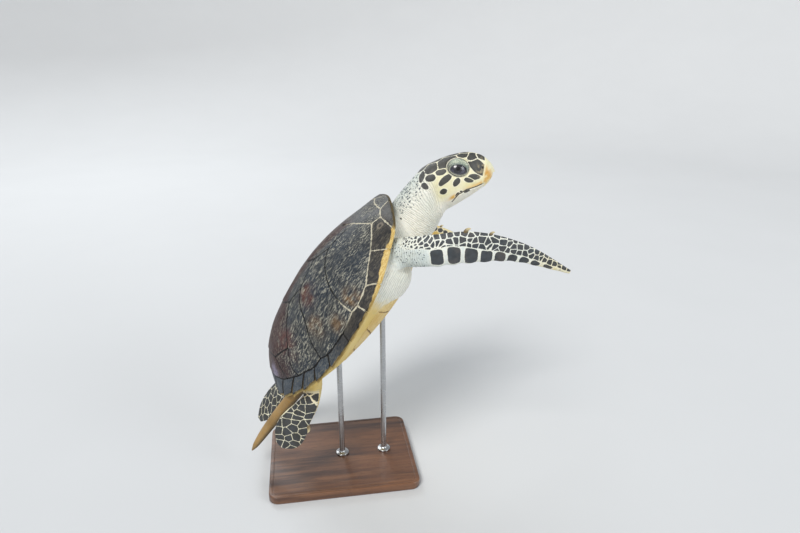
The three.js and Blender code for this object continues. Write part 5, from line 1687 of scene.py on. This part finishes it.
BASE_LENGTH = 0.430
BASE_WIDTH = 0.340
BASE_CORNER = 0.028
BASE_ROUNDING = 0.004
GROOVE_INSET = 0.0105
GROOVE_DEPTH = 0.0011
ROD_RADIUS = 0.008
PAD_RADIUS = 0.026
ROD_SIDES = 56
COLLAR_RADIUS = 2.4 * ROD_RADIUS
PAD_THICKNESS = 0.005
PAD_GAP = 0.0006
FELT_THICKNESS = 0.0015
FELT_GAP = 0.0005
ROD_PLACES = {"stand_rod_front": 0.6, "stand_rod_rear": 0.32}


def walnut_finish():
    """Walnut: long wavering bands of brown, dark pores along the grain, a satin lacquer."""
    material, shader, add = new_finish("walnut")
    place = object_place(add)
    bands = speckle(add, place, (1.6, 17, 24), detail=5.0, rough=0.6)
    figure = speckle(add, place, (5, 60, 60), detail=4.0)
    pores = speckle(add, place, (45, 900, 900), detail=2.0)
    colour = mixed(add, between(add, bands, 0.32, 0.68), linear("33201a"), linear("6b4730"))
    colour = mixed(add, between(add, figure, 0.4, 0.7, 0.0, 0.45), colour, linear("8a6042"))
    colour = mixed(add, between(add, pores, 0.56, 0.7, 0.0, 0.6), colour, linear("1e130e"))
    set_shader(material, shader, {
        "Base Color": colour, "Roughness": between(add, bands, 0.3, 0.7, 0.42, 0.34),
        "Normal": bumped(add, pores, 0.15, 0.0004), "Coat Weight": 0.35, "Coat Roughness": 0.22,
    })
    return material


def steel_finish():
    """Brushed steel: fine lines round the rod, with patches a little duller."""
    material, shader, add = new_finish("brushed_steel")
    place = object_place(add)
    lines = speckle(add, place, (60, 60, 2600), detail=2.0)
    dull = speckle(add, place, 40, detail=3.0)
    colour = mixed(add, between(add, lines, 0.3, 0.7), linear("a9abad"), linear("c6c8ca"))
    set_shader(material, shader, {
        "Base Color": colour, "Metallic": 1.0, "Roughness": between(add, dull, 0.3, 0.7, 0.24, 0.38),
        "Normal": bumped(add, lines, 0.12, 0.0002),
    })
    return material


def felt_finish():
    """Dark green-grey felt with a matted nap."""
    material, shader, add = new_finish("felt")
    nap = speckle(add, object_place(add), 1500, detail=3.0)
    colour = mixed(add, between(add, nap, 0.35, 0.65), linear("22292a"), linear("3a4443"))
    bump = bumped(add, nap, 0.5, 0.0004)
    set_shader(material, shader, {"Base Color": colour, "Roughness": 0.95, "Normal": bump})
    return material


walnut, brushed_steel, felt = walnut_finish(), steel_finish(), felt_finish()

# Board: one outline, set in by the amount and raised to the height of each step of its profile.
quarter = np.linspace(0, np.pi / 2, 14)
profile = [(0.05, 0.0), (0.0046, 0.0)] + [
    (BASE_ROUNDING * (1 - np.sin(a)), BASE_ROUNDING * (1 - np.cos(a))) for a in quarter[::2]
] + [
    (BASE_ROUNDING * (1 - np.cos(a)), BASE_THICKNESS - BASE_ROUNDING * (1 - np.sin(a)))
    for a in quarter[::2]
] + [(0.0046, BASE_THICKNESS), (GROOVE_INSET, BASE_THICKNESS)] + [
    (GROOVE_INSET + 0.0016 * (1 - np.cos(a)), BASE_THICKNESS - GROOVE_DEPTH * np.sin(a))
    for a in np.linspace(0, np.pi, 9)
] + [(0.0143, BASE_THICKNESS), (0.05, BASE_THICKNESS)]
turn = np.concatenate([quarter + k * np.pi / 2 for k in range(4)])
signs = np.repeat([[1, 1], [-1, 1], [-1, -1], [1, -1]], len(quarter), axis=0)
corner = signs * [BASE_LENGTH / 2 - BASE_CORNER, BASE_WIDTH / 2 - BASE_CORNER]
normals = np.stack([np.cos(turn), np.sin(turn)], 1)
rings = np.stack([
    np.column_stack([
        corner + normals * (BASE_CORNER - inset) if inset < BASE_CORNER
        else corner * (1 - (inset - BASE_CORNER)),
        np.full(len(turn), height),
    ]) for inset, height in profile
])
board = mesh_piece("stand_base", *closed_over(rings), walnut)
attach(board, "root")
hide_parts("stand_base")

angle = full_turn(ROD_SIDES)
around = np.stack([np.cos(angle), np.sin(angle)], 1)


def disc(place, lean, radius, top, bottom):
    """Round pad under the belly: its two faces follow the belly face at two depths."""
    shares, bevel = [0.02, 0.5, 0.9, 0.97], (bottom - top) * 0.2
    steps = [(share, top) for share in shares] + [(1, top + bevel), (1, bottom - bevel)]
    steps += [(share, bottom) for share in shares[::-1]]
    along = place + around[:, 0] * radius / SHELL_LENGTH * np.cos(lean)
    rings = []
    for share, depth in steps:
        x = place + (along - place) * share
        y = around[:, 1] * radius / SHELL_LENGTH * share
        rings.append(np.stack([x, y, belly_height(x, y) - depth / SHELL_LENGTH], 1))
    return closed_over(on_stand(np.stack(rings)))


for name, place in ROD_PLACES.items():
    rise = through(BELLY_MIDDLE, place + 0.05) - through(BELLY_MIDDLE, place - 0.05)
    tilt = np.arctan2(rise, 0.1) + BODY_PITCH
    face = on_stand([place, 0, through(BELLY_MIDDLE, place)])
    reach = PAD_THICKNESS / 2 - 0.001
    rod_x, rod_top = face[0] + np.sin(tilt) * reach, face[2] - np.cos(tilt) * reach
    foot = BASE_THICKNESS + 0.0003
    profile = [
        (0.001, foot), (COLLAR_RADIUS - 0.001, foot), (COLLAR_RADIUS - 0.0003, foot + 0.0003),
        (COLLAR_RADIUS, foot + 0.001), (COLLAR_RADIUS, foot + 0.0045),
        (COLLAR_RADIUS - 0.0004, foot + 0.0055), (COLLAR_RADIUS - 0.0012, foot + 0.006),
        (ROD_RADIUS * 1.5, foot + 0.0075), (ROD_RADIUS * 1.15, foot + 0.0095),
        (ROD_RADIUS * 1.02, foot + 0.0125), (ROD_RADIUS, foot + 0.016), (ROD_RADIUS, foot + 0.02),
        (ROD_RADIUS, rod_top - 0.004), (ROD_RADIUS, rod_top),
    ]
    rings = np.stack([
        np.column_stack([around * radius, np.full(ROD_SIDES, height)]) for radius, height in profile
    ])
    rod = closed_over(rings + [rod_x, 0, 0])
    lean = tilt - BODY_PITCH
    pad = disc(place, lean, PAD_RADIUS, FELT_THICKNESS + PAD_GAP, PAD_THICKNESS + PAD_GAP)
    points = np.concatenate([rod[0], pad[0]])
    faces = np.concatenate([rod[1], pad[1] + len(rod[0])])
    made = mesh_piece(name, points, faces, brushed_steel)
    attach(made, "root")
    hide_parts(name)
    cushion = disc(place, lean, PAD_RADIUS - 0.001, FELT_GAP, FELT_THICKNESS + FELT_GAP)
    cushion = mesh_piece(name + "_felt", *cushion, felt)
    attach(cushion, "root")
